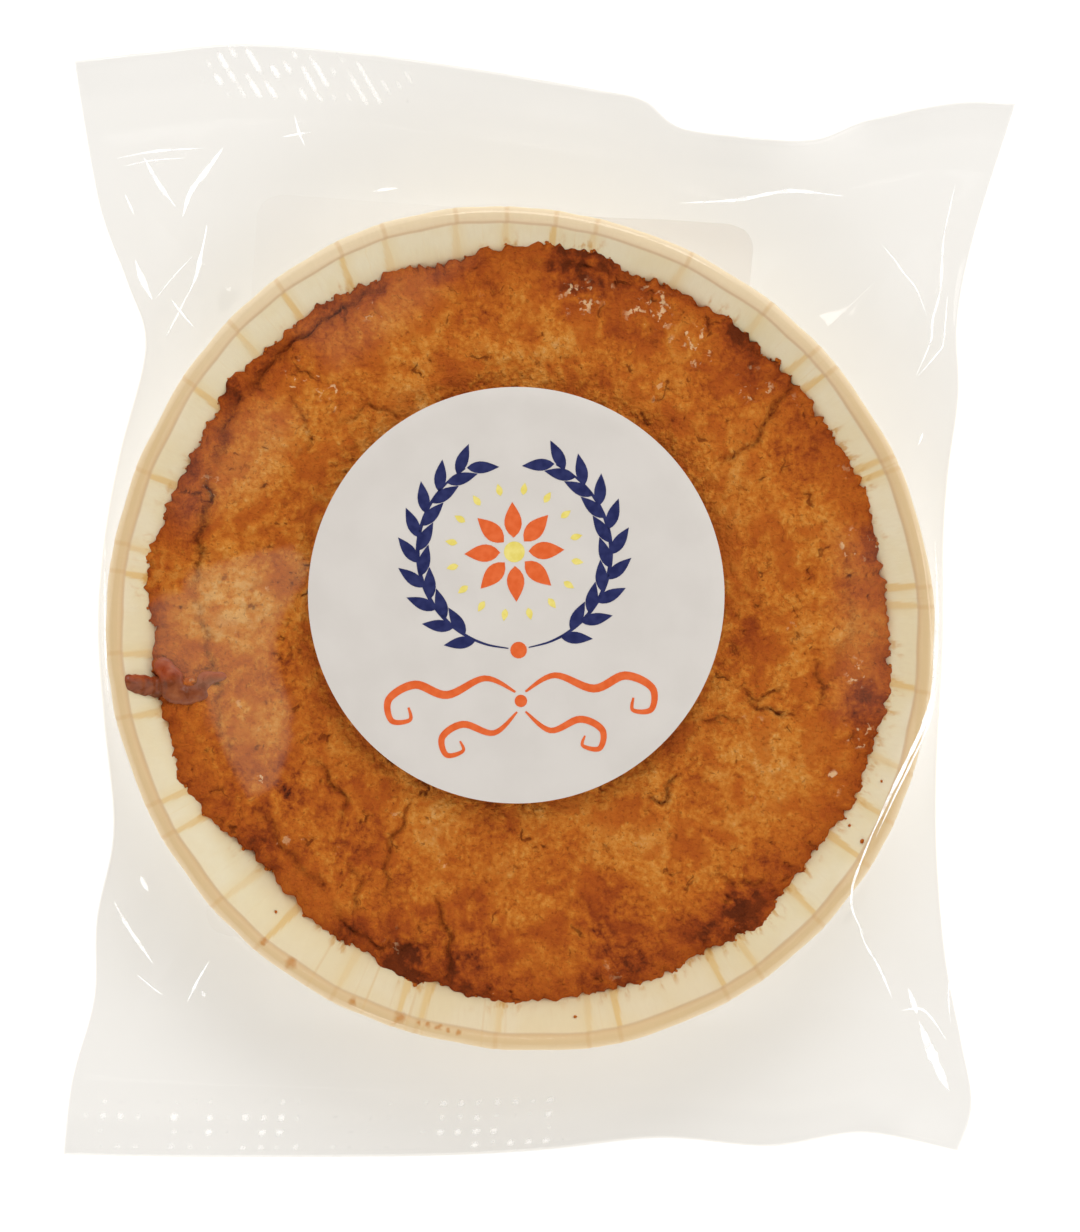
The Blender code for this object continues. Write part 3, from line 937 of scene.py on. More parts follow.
def case_tree():
    """Pressed pleats round the case: seeded lines, each a raised strip, and flat panels between them."""
    sizes = {
        "Pleats": PLEAT_COUNT, "Strip Width": 0.85, "Strip Rise": 0.1, "Panel Flatness": 0.16, "Seed": 4,
    }
    tree = GeometryTree("Case pleats", sizes)
    line_angle = tree.times(tree.add("GeometryNodeInputIndex"), 2 * math.pi / PLEAT_COUNT)
    inputs = {2: -0.5, 3: 0.5, "Seed": tree.inputs["Seed"]}
    jitter = tree.add("FunctionNodeRandomValue", inputs, output=1, data_type="FLOAT")
    line_angle = tree.times_plus(jitter, 1.2 * 2 * math.pi / PLEAT_COUNT, line_angle)
    on_circle = tree.combine(
        tree.times(tree.math("COSINE", line_angle), RIM_RADIUS),
        tree.times(tree.math("SINE", line_angle), RIM_RADIUS),
        0.0,
    )
    lines = tree.add("GeometryNodePoints", {"Count": tree.inputs["Pleats"], "Position": on_circle})
    place = tree.vector("SUBTRACT", tree.place, (*CASE_CENTRE, 0.0))
    x, y, height = tree.separate(place)
    flat = tree.combine(x, y, 0.0)
    radius = tree.length(flat)
    outward = tree.vector("NORMALIZE", flat)
    # A pleat leans a little on its way down the wall
    lean = tree.minus(tree.noise(outward, 0.25), 0.5)
    turn = tree.times(lean, tree.times(tree.minus(height, ROLL_HEIGHT), 0.016))
    leaned = tree.add("ShaderNodeVectorRotate", {"Vector": outward, "Angle": turn}, rotation_type="Z_AXIS")
    on_rim = tree.scaled(leaned, RIM_RADIUS)
    near = tree.add("GeometryNodeProximity", {0: lines, "Sample Position": on_rim}, target_element="POINTS")
    _, _, side = tree.separate(tree.vector("CROSS_PRODUCT", near, on_rim))
    from_line = tree.times(tree.over(side, RIM_RADIUS), tree.over(radius, RIM_RADIUS))
    width = tree.times(tree.inputs["Strip Width"], tree.span(height, 17.6, 14.2, 0.6, 1.1))
    rising = tree.span(from_line, -0.18, 0.0)
    falling = tree.minus(1.0, tree.span(tree.minus(from_line, width), 0.0, 0.1))
    strip = tree.times(rising, falling)
    on_wall = tree.span(height, 16.8, 17.8, 1.0, 0.35)
    raised = tree.times(strip, tree.inputs["Strip Rise"], on_wall)
    # Between two pleats the paper is nearly flat, so the rim has corners
    half_panel = math.pi * RIM_RADIUS / PLEAT_COUNT
    share = tree.over(tree.math("ABSOLUTE", from_line), half_panel)
    bow = tree.times(tree.minus(0.6, tree.smaller(share, 1.2)), tree.inputs["Panel Flatness"])
    uneven = tree.times(tree.minus(tree.noise(place, 9.0), 0.5), 0.35)
    inner = tree.span(radius, 42.0, 43.5)
    # The inner face shows the strip standing in, towards the cake
    shift = tree.plus(bow, tree.minus(uneven, raised))
    shaped = tree.moved(tree.inputs["Geometry"], tree.scaled(outward, tree.times(shift, inner, MM)))
    shaped = tree.stored(shaped, "pleat", strip)
    return tree.finish(tree.stored(shaped, "from_pleat", from_line))


def make_case(material):
    """The case from the middle of its floor up the wall, round the rolled rim and back underneath."""
    headings = even_headings(CASE_COLUMNS)
    wall_heights = np.concatenate((np.linspace(1.6, WALL_BASE_HEIGHT, 6), np.linspace(14.1, 17.6, 15)))
    inner = [(0.0, 0.45), (30.0, 0.45), (42.4, 0.45), (42.9, 0.7)]
    inner += [(wall_radius(height, headings), height) for height in wall_heights]
    roll_centre = CASE_ROLL_CENTRE + rim_shift(headings)
    roll = [
        (roll_centre + CASE_ROLL * math.cos(math.radians(angle)),
         ROLL_HEIGHT + 0.9 * CASE_ROLL * math.sin(math.radians(angle)))
        for angle in range(160, -121, -20)
    ]
    outer_heights = [height for height in wall_heights[::-2] if height < 16.4]
    outer = [(wall_radius(height, headings) + PAPER_THICKNESS, height) for height in outer_heights]
    bottom = [(42.8, 0.25), (30.0, 0.2), (0.0, 0.2)]
    points, faces = turned_solid(inner + roll + outer + bottom, CASE_COLUMNS)
    radius = reach_from(CASE_CENTRE, points[:, :2])
    heading = headings_of(points[:, :2])
    edge = np.interp(heading, headings, crust_reach(CASE_COLUMNS), period=2 * np.pi)
    numbers = {
        "out": radius - rim_shift(heading) * smooth_step(radius, 40.0, 46.0),
        "from_crust": radius - edge,
        "inner": np.arange(len(points)) < (len(inner) + 8) * CASE_COLUMNS,
    }
    case = make_mesh("case", points, faces, material, numbers)
    return shape_with(case, case_tree(), material)


# Brown spots on the rim, where filling and crumbs touched it: a place and a size
RIM_STAINS = (
    ((-29.7, -43.6), 0.75), ((-22.3, -48.2), 0.6), ((-16.6, -50.2), 0.75), ((-12.0, -51.4), 0.45),
    ((-33.0, -41.0), 0.4), ((-14.3, -50.8), 0.3), ((-13.2, -51.1), 0.35), ((-10.8, -51.7), 0.3),
    ((-9.6, -52.0), 0.4),
)


def case_paper_material():
    """Cream greaseproof paper: pale panels, tan pleats, fine fibres, and brown marks by the crust, with
    painted light and shade on the rim and wall.
    """
    nodes = MaterialTree("case_paper")
    place = nodes.place
    x, y, height = nodes.separate(nodes.vector("SUBTRACT", place, (*CASE_CENTRE, 0.0)))
    turn = nodes.math("ARCTAN2", y, x)
    round_the_case = nodes.times(turn, RIM_RADIUS)
    out = nodes.number("out")
    from_pleat = nodes.math("ABSOLUTE", nodes.number("from_pleat"))
    fibres = nodes.noise(nodes.combine(nodes.times(round_the_case, 3.0), 0.0, height), 1.2, 3.0)
    cloud = nodes.noise(place, 6.0, 3.0)
    base = nodes.mix(nodes.span(cloud, 0.35, 0.65), (0.93, 0.84, 0.58, 1.0), (0.95, 0.88, 0.66, 1.0))
    on_rim = nodes.span(out, 47.9, 48.3)
    on_wall = nodes.minus(1.0, on_rim)
    rim_pleat = nodes.times(nodes.span(from_pleat, 0.45, 0.1), on_rim)
    wrinkled = nodes.times(nodes.span(turn, -2.25, -2.05), nodes.span(turn, -1.5, -1.75))
    distinct = nodes.noise(nodes.combine(round_the_case, 5.0, 0.0), 6.0, 1.0)
    distinct = nodes.span(distinct, 0.4, 0.6, 0.3, 0.85)
    wrinkle = nodes.span(nodes.noise(nodes.combine(round_the_case, 0.0, 0.0), 0.9, 1.0), 0.60, 0.66)
    from_crease = nodes.math("ABSOLUTE", nodes.minus(out, 48.12))
    for strength, stain_and_shade in (
        (nodes.times(nodes.span(from_pleat, 0.0, 1.6, 0.35, 0.0), on_wall), (0.90, 0.73, 0.38)),
        (nodes.times(nodes.span(out, 46.5, 44.0), 0.3), (0.88, 0.73, 0.42)),
        (nodes.times(on_rim, 0.9), (0.79, 0.575, 0.31)),
        # Painted light: the rim is paler towards the upper side (+Y)
        (nodes.times(on_rim, nodes.span(y, 20.0, 45.0), 0.75), (0.94, 0.80, 0.57)),
        # Painted shade: the wall is darker and more tan towards the lower side (-Y)
        (nodes.times(nodes.span(y, -30.0, -46.0, 0.0, 0.35), on_wall), (0.84, 0.66, 0.40)),
        # Painted highlight: the rim is paler along its outer edge
        (nodes.times(nodes.span(out, 49.2, 50.0), 0.5), (0.95, 0.81, 0.57)),
        (nodes.times(nodes.number("pleat"), on_wall, distinct), (0.86, 0.61, 0.25)),
        (nodes.times(rim_pleat, 0.4), (0.74, 0.47, 0.20)),
        (nodes.times(wrinkle, wrinkled, 0.4), (0.80, 0.56, 0.26)),
        # Painted shade: a thin darker line where the wall meets the rolled rim
        (nodes.span(from_crease, 0.2, 0.05, 0.0, 0.3), (0.66, 0.44, 0.25)),
        (nodes.span(fibres, 0.35, 0.75, 0.0, 0.1), (0.75, 0.58, 0.34)),
    ):
        base = nodes.mix(strength, base, (*stain_and_shade, 1.0))
    smear = nodes.noise(nodes.combine(round_the_case, 0.0, nodes.times(height, 0.7)), 1.1, 3.0, 0.6)
    lower_right = nodes.times(nodes.span(turn, -1.7, -1.2), nodes.span(turn, -0.05, -0.25))
    patchy = nodes.larger(nodes.span(nodes.noise(place, 7.0, 2.0), 0.5, 0.62), lower_right)
    smeared = nodes.times(nodes.span(nodes.number("from_crust"), 2.0, 0.0), patchy)
    marks = nodes.times(nodes.span(smear, 0.48, 0.66, 0.0, 0.75), smeared)
    ragged = nodes.vector("MULTIPLY", nodes.warped(place, 0.9, 1.0), (1.0, 1.0, 0.0))
    stained = 0.0
    for stain_place, size in RIM_STAINS:
        away = nodes.distance(ragged, (*stain_place, 0.0))
        stained = nodes.larger(stained, nodes.span(away, 1.3 * size, 0.3 * size, 0.0, 0.75))
    inner = nodes.number("inner")
    base = nodes.mix(nodes.times(marks, inner), base, (0.70, 0.36, 0.06, 1.0))
    base = nodes.mix(nodes.times(stained, inner), base, (0.60, 0.24, 0.035, 1.0))
    grain = nodes.plus(fibres, nodes.times(nodes.noise(place, 0.35, 3.0), 0.6))
    bump = nodes.bump(grain, 0.35, 0.00012)
    front = nodes.principled(base, nodes.span(cloud, 0.2, 0.8, 0.5, 0.65), bump, 0.25)
    through = nodes.add("ShaderNodeBsdfTranslucent", {"Color": base, "Normal": bump})
    return nodes.finish(nodes.blend(PAPER_TRANSLUCENCE, front, through))


# The cake

CAKE_COLUMNS = 780
CAKE_SEED = 7
DOME_HEIGHT = 16.9
DOME_FALL = 0.0006
DOME_EDGE = 36.0
CRUST_SHOULDER = 2.4
CRUST_EDGE_HEIGHT = 16.3
CAKE_UNDERSIDE = 0.6

# The crust's long cracks: a line of points, a depth and a half width
GROOVES = (
    (((-18.0, 38.6), (-28.8, 31.9), (-36.1, 24.2), (-39.1, 20.0)), 1.0, 0.8),
    (((-36.1, 24.2), (-38.2, 20.5), (-38.4, 16.0)), 1.0, 1.1),
    (((-39.5, 16.0), (-40.3, 9.7), (-41.6, 1.2)), 1.1, 0.7),
    (((-41.2, 3.0), (-41.0, -2.0), (-39.4, -7.0), (-38.4, -14.0), (-37.0, -20.3)), 0.6, 0.6),
    (((-34.5, -24.6), (-30.0, -30.6), (-25.2, -35.6)), 0.7, 0.8),
    (((30.0, 33.4), (31.0, 27.2), (28.6, 23.0), (24.6, 18.2), (21.6, 15.4)), 0.9, 0.6),
    (((25.4, 33.6), (27.6, 29.6), (31.0, 27.4), (36.4, 25.4)), 0.6, 0.55),
    (((-27.6, -18.4), (-25.4, -20.9), (-23.4, -24.0), (-24.0, -27.6)), 0.8, 0.5),
    (((-15.4, -24.0), (-17.4, -29.0), (-18.6, -33.0), (-17.9, -36.0)), 0.7, 0.5),
    (((-12.2, -36.0), (-11.0, -40.0), (-10.4, -45.6)), 0.9, 0.55),
    (((-25.0, -36.0), (-21.6, -41.0), (-12.6, -42.0)), 0.7, 0.6),
    (((-23.0, -32.0), (-21.6, -35.0), (-22.4, -38.4)), 0.7, 0.5),
    (((12.7, -24.4), (15.0, -24.0), (17.2, -20.5)), 0.9, 0.45),
    (((24.5, -11.6), (27.6, -13.0), (31.6, -14.8)), 0.7, 0.5),
    (((22.8, -10.0), (26.4, -11.6), (29.8, -9.8)), 0.6, 0.4),
    (((33.6, -7.0), (34.2, -13.0)), 0.7, 0.45),
    (((19.0, -14.6), (24.8, -14.4)), 0.6, 0.45),
    (((20.0, -33.0), (23.6, -34.2), (28.0, -33.0)), 0.6, 0.5),
    (((36.5, 8.0), (37.8, -2.0), (35.0, -10.5)), 0.4, 0.7),
    (((-4.0, 41.0), (6.0, 40.5), (13.0, 38.2)), 0.4, 0.7),
    (((-16.6, 21.6), (-19.6, 23.6), (-24.6, 20.0)), 0.6, 0.4),
    (((-30.0, 25.4), (-27.8, 21.0), (-28.8, 17.0)), 0.5, 0.5),
)

# The crust's darker spots, partly burnt crust and partly painted shade: a place, a size and a strength, as
# in the next two lists
BURNS_AND_SHADE = (
    ((-30.0, -25.0), 14.0, 0.58), ((-29.0, -6.5), 4.5, 0.5), ((-27.0, -17.0), 3.5, 0.3),
    ((-24.0, 28.0), 12.0, 0.22), ((-8.0, -42.0), 10.0, 0.55), ((8.2, -42.0), 9.0, 0.6),
    ((17.0, -39.0), 7.0, 0.35), ((-12.0, -39.5), 6.0, 0.5), ((36.0, 18.0), 9.0, 0.2),
    ((24.4, -37.0), 5.0, 1.0), ((20.0, -39.6), 4.0, 0.8), ((24.6, 32.6), 3.6, 0.8),
    ((4.5, 39.5), 8.0, 0.6), ((17.0, 37.0), 6.0, 0.3), ((-16.0, -43.2), 6.0, 0.6),
    ((26.0, -31.0), 6.0, 0.25), ((-22.0, -39.6), 3.0, 0.5), ((-37.0, 25.0), 3.0, 0.6),
    ((-36.4, -24.4), 3.6, 0.55),
)

# Paler spots, partly paler crumb and partly painted light
PALE = (
    ((-37.0, 0.0), 9.0, 0.8), ((-43.0, -3.0), 6.0, 0.6), ((-45.8, 3.0), 5.5, 0.9),
    ((-33.5, -16.0), 7.0, 0.8), ((-12.0, -27.0), 5.0, 0.3), ((8.0, -31.0), 6.0, 0.2),
    ((0.0, 31.0), 13.0, 0.3), ((26.0, -20.0), 7.0, 0.35), ((40.0, -4.0), 5.0, 0.45),
    ((-16.0, 21.0), 9.0, 0.35), ((-26.0, 10.0), 8.0, 0.35), ((24.8, -10.0), 6.0, 0.25),
    ((-12.0, 41.5), 13.0, 0.2), ((-38.0, 22.0), 9.0, 0.2),
)

# Thick egg glaze, with small highlights painted into its colour
GLAZED = (
    ((13.6, 35.2), 4.5, 1.0), ((5.0, 36.5), 4.0, 0.7), ((19.0, 31.0), 4.5, 0.9),
    ((26.0, 26.0), 4.0, 0.6), ((38.8, 6.5), 3.5, 1.0), ((39.0, -8.5), 3.0, 0.9),
    ((38.6, -16.0), 3.0, 0.8), ((35.6, -22.0), 2.5, 0.7), ((-28.0, 26.6), 4.0, 0.9),
    ((-24.0, 24.6), 3.0, 0.7), ((-20.0, 35.0), 3.0, 0.5), ((-33.8, -21.4), 1.6, 1.0),
)


def crust_cracks(nodes, flat):
    """The crust's plates, the cracks between them and the pits in them, for its relief and its colours."""
    wander = nodes.warped(nodes.warped(flat, 5.0, 6.0), 1.2, 1.7)
    seam = nodes.times(nodes.cells(wander, 8.0, "DISTANCE_TO_EDGE"), 8.0)
    broken = nodes.noise(nodes.vector("ADD", flat, (0.0, 50.0, 0.0)), 3.2, 2.0)
    width = nodes.smaller(nodes.times_plus(broken, 2.0, -1.14), 0.17)
    wide = nodes.span(nodes.minus(width, seam), -0.02, 0.07)
    small = nodes.warped(nodes.vector("ADD", flat, (20.0, 0.0, 0.0)), 1.6, 2.6)
    small_seam = nodes.times(nodes.cells(small, 3.6, "DISTANCE_TO_EDGE"), 3.6)
    small_broken = nodes.noise(nodes.vector("ADD", flat, (0.0, -70.0, 0.0)), 2.2, 2.0)
    small_width = nodes.smaller(nodes.times_plus(small_broken, 1.5, -0.9), 0.09)
    thin = nodes.span(nodes.minus(small_width, small_seam), -0.02, 0.05)
    pit_away = nodes.times(nodes.cells(small, 1.3), 1.3)
    pit = nodes.times(nodes.span(pit_away, 0.26, 0.13), nodes.span(broken, 0.46, 0.38))
    return {
        "wander": wander, "seam": seam, "pit": pit,
        "crack": nodes.larger(wide, nodes.times(thin, 0.6)),
    }


def cake_tree():
    """The crust's relief of swells, plates, crumbly lumps, cracks and pits, and what its colours follow."""
    sizes = {
        "Swell": 1.5, "Plate Step": 0.4, "Lump": 0.5, "Crumb": 0.4, "Crack Depth": 0.35, "Pit Depth": 0.25,
        "Groove Depth": 1.0,
    }
    tree = GeometryTree("Crust relief", sizes)
    x, y, height = tree.separate(tree.place)
    flat = tree.combine(x, y, 0.0)
    features = crust_cracks(tree, flat)
    zones = tree.noise(flat, 11.0, 3.0)
    patches = tree.noise(tree.warped(tree.vector("ADD", flat, (37.0, 11.0, 3.0)), 3.0, 2.0), 4.2, 3.0)
    plate = tree.cells(features["wander"], 8.0, output=1)
    plate = tree.times(tree.minus(plate, 0.5), tree.span(features["seam"], 0.0, 0.5))
    inward = tree.number("inward")
    edge = tree.span(inward, 7.5, 0.5)
    skin = tree.span(patches, 0.455, 0.53)
    skin = tree.times(skin, tree.span(features["seam"], 0.2, 1.4, 0.25, 1.0))
    skin = tree.larger(skin, tree.times(edge, 0.8))
    lumps = tree.cells(tree.warped(flat, 1.5, 1.6), 2.0, "SMOOTH_F1", smoothness=0.3)
    crumb = tree.noise(flat, 0.9, 3.0, 0.6)
    glaze = tree.span(tree.noise(tree.vector("ADD", flat, (-40.0, 25.0, 0.0)), 6.0, 3.0), 0.6, 0.7, 0.0, 0.3)
    spread = tree.span(tree.noise(flat, 1.6, 3.0), 0.35, 0.6, 0.3, 1.3)

    def spotted(spots, already):
        """The strongest of these uneven round spots at each place."""
        for place, size, strength in spots:
            away = tree.distance(flat, (*place, 0.0))
            already = tree.larger(tree.times(tree.span(away, size, 0.0, 0.0, strength), spread), already)
        return already

    glaze = spotted(GLAZED, glaze)
    # Pale spots are partly paler crumb and partly painted light
    pale = spotted(PALE, 0.0)
    # Dark spots are partly burnt crust and partly painted shade
    burn_and_shade = tree.minus(spotted(BURNS_AND_SHADE, 0.0), pale)
    rough = tree.times_plus(edge, 0.7, tree.times_plus(skin, -0.65, 1.15))
    lump = tree.times(tree.minus(0.45, lumps), tree.inputs["Lump"])
    grain = tree.times(tree.minus(crumb, 0.5), tree.inputs["Crumb"])
    rise = tree.times(tree.plus(lump, grain), rough)
    rise = tree.times_plus(tree.minus(zones, 0.5), tree.inputs["Swell"], rise)
    rise = tree.times_plus(plate, tree.inputs["Plate Step"], rise)
    cracked = tree.times(features["crack"], tree.span(pale, 0.1, 0.35, 1.0, 0.3))
    for feature, depth in (
        (cracked, "Crack Depth"), (features["pit"], "Pit Depth"), (tree.number("groove"), "Groove Depth"),
    ):
        rise = tree.minus(rise, tree.times(feature, tree.inputs[depth]))
    rise = tree.times(rise, tree.span(inward, 0.0, 1.2, 0.3, 1.0))
    rise = tree.times(rise, tree.span(height, 5.0, 11.0))
    offset = tree.scaled(tree.add("GeometryNodeInputNormal"), tree.times(rise, MM))
    shaped = tree.inputs["Geometry"]
    tone = tree.times_plus(tree.minus(zones, 0.5), 0.75, tree.times(plate, 0.32))
    tone = tree.times_plus(tree.minus(lumps, 0.4), -0.22, tone)
    for label, value in (
        ("tone", tone), ("patches", patches), ("skin", skin), ("edge", edge), ("glaze", glaze),
        ("burn_and_shade", burn_and_shade), ("pale", pale),
    ):
        shaped = tree.stored(shaped, label, value)
    return tree.finish(tree.moved(shaped, offset))


def crust_reach(columns):
    """The crust's outline radius at each column, with small uneven notches."""
    headings = even_headings(columns)
    reach = round_curve(CRUST_REACH, headings, 30)
    random = np.random.default_rng(CAKE_SEED)
    for lobes in range(31, 281):
        phase = random.uniform(0, 2 * np.pi)
        reach += 0.16 / lobes**0.45 * random.uniform(0.3, 1.4) * np.sin(headings * lobes + phase)
    return reach


def dome(radius):
    """Height of the crust, before its relief."""
    return DOME_HEIGHT - DOME_FALL * radius**2


def make_cake(material):
    """A low dome whose edge rolls over and meets the flaring wall of the case."""
    headings = even_headings(CAKE_COLUMNS)
    reach = crust_reach(CAKE_COLUMNS)
    meet_height = np.minimum(wall_height(reach, headings) - 0.1, CRUST_EDGE_HEIGHT)
    shoulder_start = reach - CRUST_SHOULDER
    radii = [0.0, 8.0, 15.0, 20.0, *np.arange(22.0, DOME_EDGE, 0.36)]
    radii += [radii[-1] + (shoulder_start - radii[-1]) * share for share in np.linspace(0.0, 1.0, 13)[1:]]
    rows = [(radius, dome(radius)) for radius in radii]
    drop = dome(shoulder_start) - meet_height
    last = math.radians(32.0)
    for angle in np.linspace(math.radians(86.0), last, 26):
        out = math.cos(angle) / math.cos(last)
        up = (math.sin(angle) - math.sin(last)) / (1 - math.sin(last))
        rows.append((shoulder_start + CRUST_SHOULDER * out, meet_height + drop * up))
    for share in (0.12, 0.3, 0.5, 0.7, 0.85, 0.96):
        height = meet_height + (1.0 - meet_height) * share
        rows.append((np.minimum(reach, wall_radius(height, headings) - 0.12), height))
    rows += [(41.6, CAKE_UNDERSIDE + 0.02), (25.0, CAKE_UNDERSIDE), (0.0, CAKE_UNDERSIDE)]
    points, faces = turned_solid(rows, CAKE_COLUMNS)
    plan_points = points[:, :2]
    x, y = plan_points.T
    wander = np.column_stack((np.sin(y * 1.9) + np.sin(y * 0.83 + 1), np.sin(x * 2.2) + np.sin(x * 0.7 + 2)))
    groove = ridge_rise(plan_points + 0.3 * wander, GROOVES, 0.4)
    edge = np.interp(headings_of(plan_points), headings, reach, period=2 * np.pi)
    inward = edge - reach_from(CASE_CENTRE, plan_points)
    cake = make_mesh("cake", points, faces, material, {"groove": groove, "inward": inward})
    return shape_with(cake, cake_tree(), material)


def cake_crust_material():
    """Browned crust: golden crumb between redder glazed plates, dark cracks and pits, a darker edge, spots
    of painted shade and painted light, and painted glints in the glaze.
    """
    nodes = MaterialTree("cake_crust")
    place = nodes.place
    x, y, _ = nodes.separate(place)
    features = crust_cracks(nodes, nodes.combine(x, y, 0.0))
    fine = nodes.noise(place, 0.5, 3.0, 0.7)
    grains = nodes.cells(nodes.warped(place, 0.6, 0.5), 0.8)
    skin = nodes.number("skin")
    glaze = nodes.number("glaze")
    tone = nodes.plus(nodes.number("tone"), 0.56)
    for number, gain, middle in (
        (nodes.number("patches"), 0.5, 0.5), (skin, -0.24, 0.5), (nodes.number("edge"), -0.12, 0.0),
        (nodes.number("burn_and_shade"), -0.5, 0.0), (fine, nodes.times_plus(skin, -0.35, 0.75), 0.5),
        (grains, nodes.times_plus(skin, 0.22, -0.32), 0.4),
    ):
        tone = nodes.times_plus(nodes.minus(number, middle), gain, tone)
    color = nodes.ramp(
        tone,
        (
            (0.00, (0.075, 0.015, 0.005)),
            (0.15, (0.27, 0.048, 0.009)),
            (0.32, (0.47, 0.104, 0.013)),
            (0.50, (0.60, 0.158, 0.017)),
            (0.68, (0.70, 0.235, 0.030)),
            (0.84, (0.77, 0.32, 0.060)),
            (1.00, (0.82, 0.42, 0.13)),
        ),
    )
    color = nodes.mix(nodes.times(skin, 0.3), color, (0.46, 0.080, 0.011, 1.0))
    speck = nodes.noise(nodes.vector("ADD", place, (0.0, 0.0, 9.0)), 0.5)
    speck = nodes.span(speck, 0.62, 0.68, 0.0, 0.4)
    groove = nodes.times(nodes.number("groove"), nodes.span(fine, 0.3, 0.6, 1.3, 0.5))
    cracked = nodes.times(features["crack"], nodes.span(nodes.number("pale"), 0.1, 0.35, 0.62, 0.1))
    for strength in (
        nodes.smaller(nodes.times(groove, 0.9), 0.85), cracked,
        nodes.times(features["pit"], 0.7), speck,
    ):
        color = nodes.mix(strength, color, (0.23, 0.045, 0.007, 1.0))
    # Painted highlights: small pale spots in the glaze, which are also made glossier
    painted_glint = nodes.span(nodes.noise(nodes.warped(place, 0.8, 0.9), 1.1, 3.0), 0.58, 0.65)
    painted_glint = nodes.times(painted_glint, nodes.span(glaze, 0.12, 0.5))
    color = nodes.mix(nodes.times(painted_glint, 0.7), color, (1.0, 0.70, 0.38, 1.0))
    grain = nodes.times_plus(grains, -0.6, fine)
    roughness = nodes.times_plus(painted_glint, -0.4, nodes.span(fine, 0.3, 0.7, 0.6, 0.75))
    specular = nodes.times_plus(painted_glint, 0.45, 0.05)
    return nodes.finish(nodes.principled(color, roughness, nodes.bump(grain, 1.0, 0.0005), specular))


# The filling and the crumbs


def disc_outline(centre, radius, steps=36):
    headings = even_headings(steps)
    return np.array(centre) + radius * np.column_stack((np.cos(headings), np.sin(headings)))


# Blobs of filling that ran out over the crust's edge onto the wall: a place and half sizes
FILLING_BLOBS = (
    ((-45.2, -8.0), (1.5, 1.5, 0.6)), ((-44.2, -9.2), (1.7, 1.5, 0.6)), ((-46.0, -7.2), (1.0, 1.0, 0.5)),
    ((-49.3, -9.9), (1.0, 1.3, 0.6)), ((-48.5, -10.1), (1.3, 1.5, 0.7)), ((-47.5, -10.3), (1.5, 1.6, 0.75)),
    ((-46.3, -10.5), (1.6, 1.6, 0.8)), ((-45.1, -10.7), (1.7, 1.6, 0.7)), ((-43.8, -11.2), (1.9, 1.6, 0.55)),
    ((-42.4, -11.5), (1.8, 1.5, 0.5)), ((-41.0, -11.2), (1.7, 1.4, 0.45)), ((-39.8, -9.4), (1.7, 1.2, 0.4)),
    ((-38.4, -9.2), (1.3, 1.0, 0.35)),
)


def filling_tree():
    """Melts overlapping blobs into one skin with a slightly uneven, sticky surface."""
    tree = GeometryTree("Filling skin", {"Grain": 0.16, "Unevenness": 0.14})
    grain = tree.times(tree.inputs["Grain"], MM)
    inputs = {"Mesh": tree.inputs["Geometry"], "Voxel Size": grain, "Interior Band Width": 2 * MM}
    volume = tree.add("GeometryNodeMeshToVolume", inputs, resolution_mode="VOXEL_SIZE")
    inputs = {"Volume": volume, "Voxel Size": grain, "Threshold": 0.1}
    skin = tree.add("GeometryNodeVolumeToMesh", inputs, resolution_mode="VOXEL_SIZE")
    inputs = {"Value": tree.position, "Iterations": 26}
    skin = tree.put(skin, tree.add("GeometryNodeBlurAttribute", inputs, data_type="FLOAT_VECTOR"))
    push = tree.scaled(tree.drift(tree.place, 1.3), tree.times(tree.inputs["Unevenness"], 2 * MM))
    return tree.finish(tree.add("GeometryNodeSetShadeSmooth", {0: tree.moved(skin, push)}))


def ball(columns=16, rows=8):
    """Points and faces of a ball of radius 1."""
    circle = disc_outline((0.0, 0.0), 1.0, columns)
    tilts = np.pi * np.arange(1, rows) / rows
    rings = [np.column_stack((np.sin(tilt) * circle, np.full(columns, np.cos(tilt)))) for tilt in tilts]
    return closed_form(([(0.0, 0.0, 1.0)], *rings, [(0.0, 0.0, -1.0)]))


def crust_top(radius, heading):
    """Height of the crust at a radius, or of the case's wall beyond the crust's edge."""
    edge = round_curve(CRUST_REACH, heading, 30)
    on_wall = wall_height(radius, heading)
    return np.where(radius < edge - 1.2, dome(radius), np.maximum(on_wall, 14.2)) + 0.1


def make_filling(material):
    unit_points, unit_faces = ball()
    points, faces = [], []
    for place, sizes in FILLING_BLOBS:
        radius = float(reach_from(CASE_CENTRE, np.array(place)))
        edge = float(crust_top(radius, headings_of(np.array(place))))
        faces += [[int(i) + len(points) for i in face] for face in unit_faces]
        points += (unit_points * sizes + (*place, edge)).tolist()
    filling = make_mesh("filling", points, faces, material)
    return shape_with(filling, filling_tree(), material)


def fruit_filling_material():
    """Sticky baked filling: brown where it ran over the wall, and redder beside it."""
    nodes = MaterialTree("fruit_filling")
    place = nodes.place
    cloud = nodes.noise(nodes.warped(place, 2.0, 1.5), 1.6, 3.0)
    _, y, _ = nodes.separate(nodes.warped(place, 2.0, 1.6))
    brown = nodes.ramp(
        cloud, ((0.25, (0.15, 0.036, 0.012)), (0.5, (0.24, 0.060, 0.020)), (0.75, (0.36, 0.110, 0.034)))
    )
    red = nodes.ramp(
        cloud, ((0.25, (0.20, 0.026, 0.007)), (0.5, (0.34, 0.056, 0.012)), (0.75, (0.46, 0.100, 0.022)))
    )
    color = nodes.mix(nodes.span(y, -10.0, -8.8), brown, red)
    bump = nodes.bump(nodes.noise(place, 0.5, 3.0), 0.4, 0.0002)
    return nodes.finish(nodes.principled(color, nodes.span(cloud, 0.3, 0.7, 0.2, 0.45), bump, 0.3))


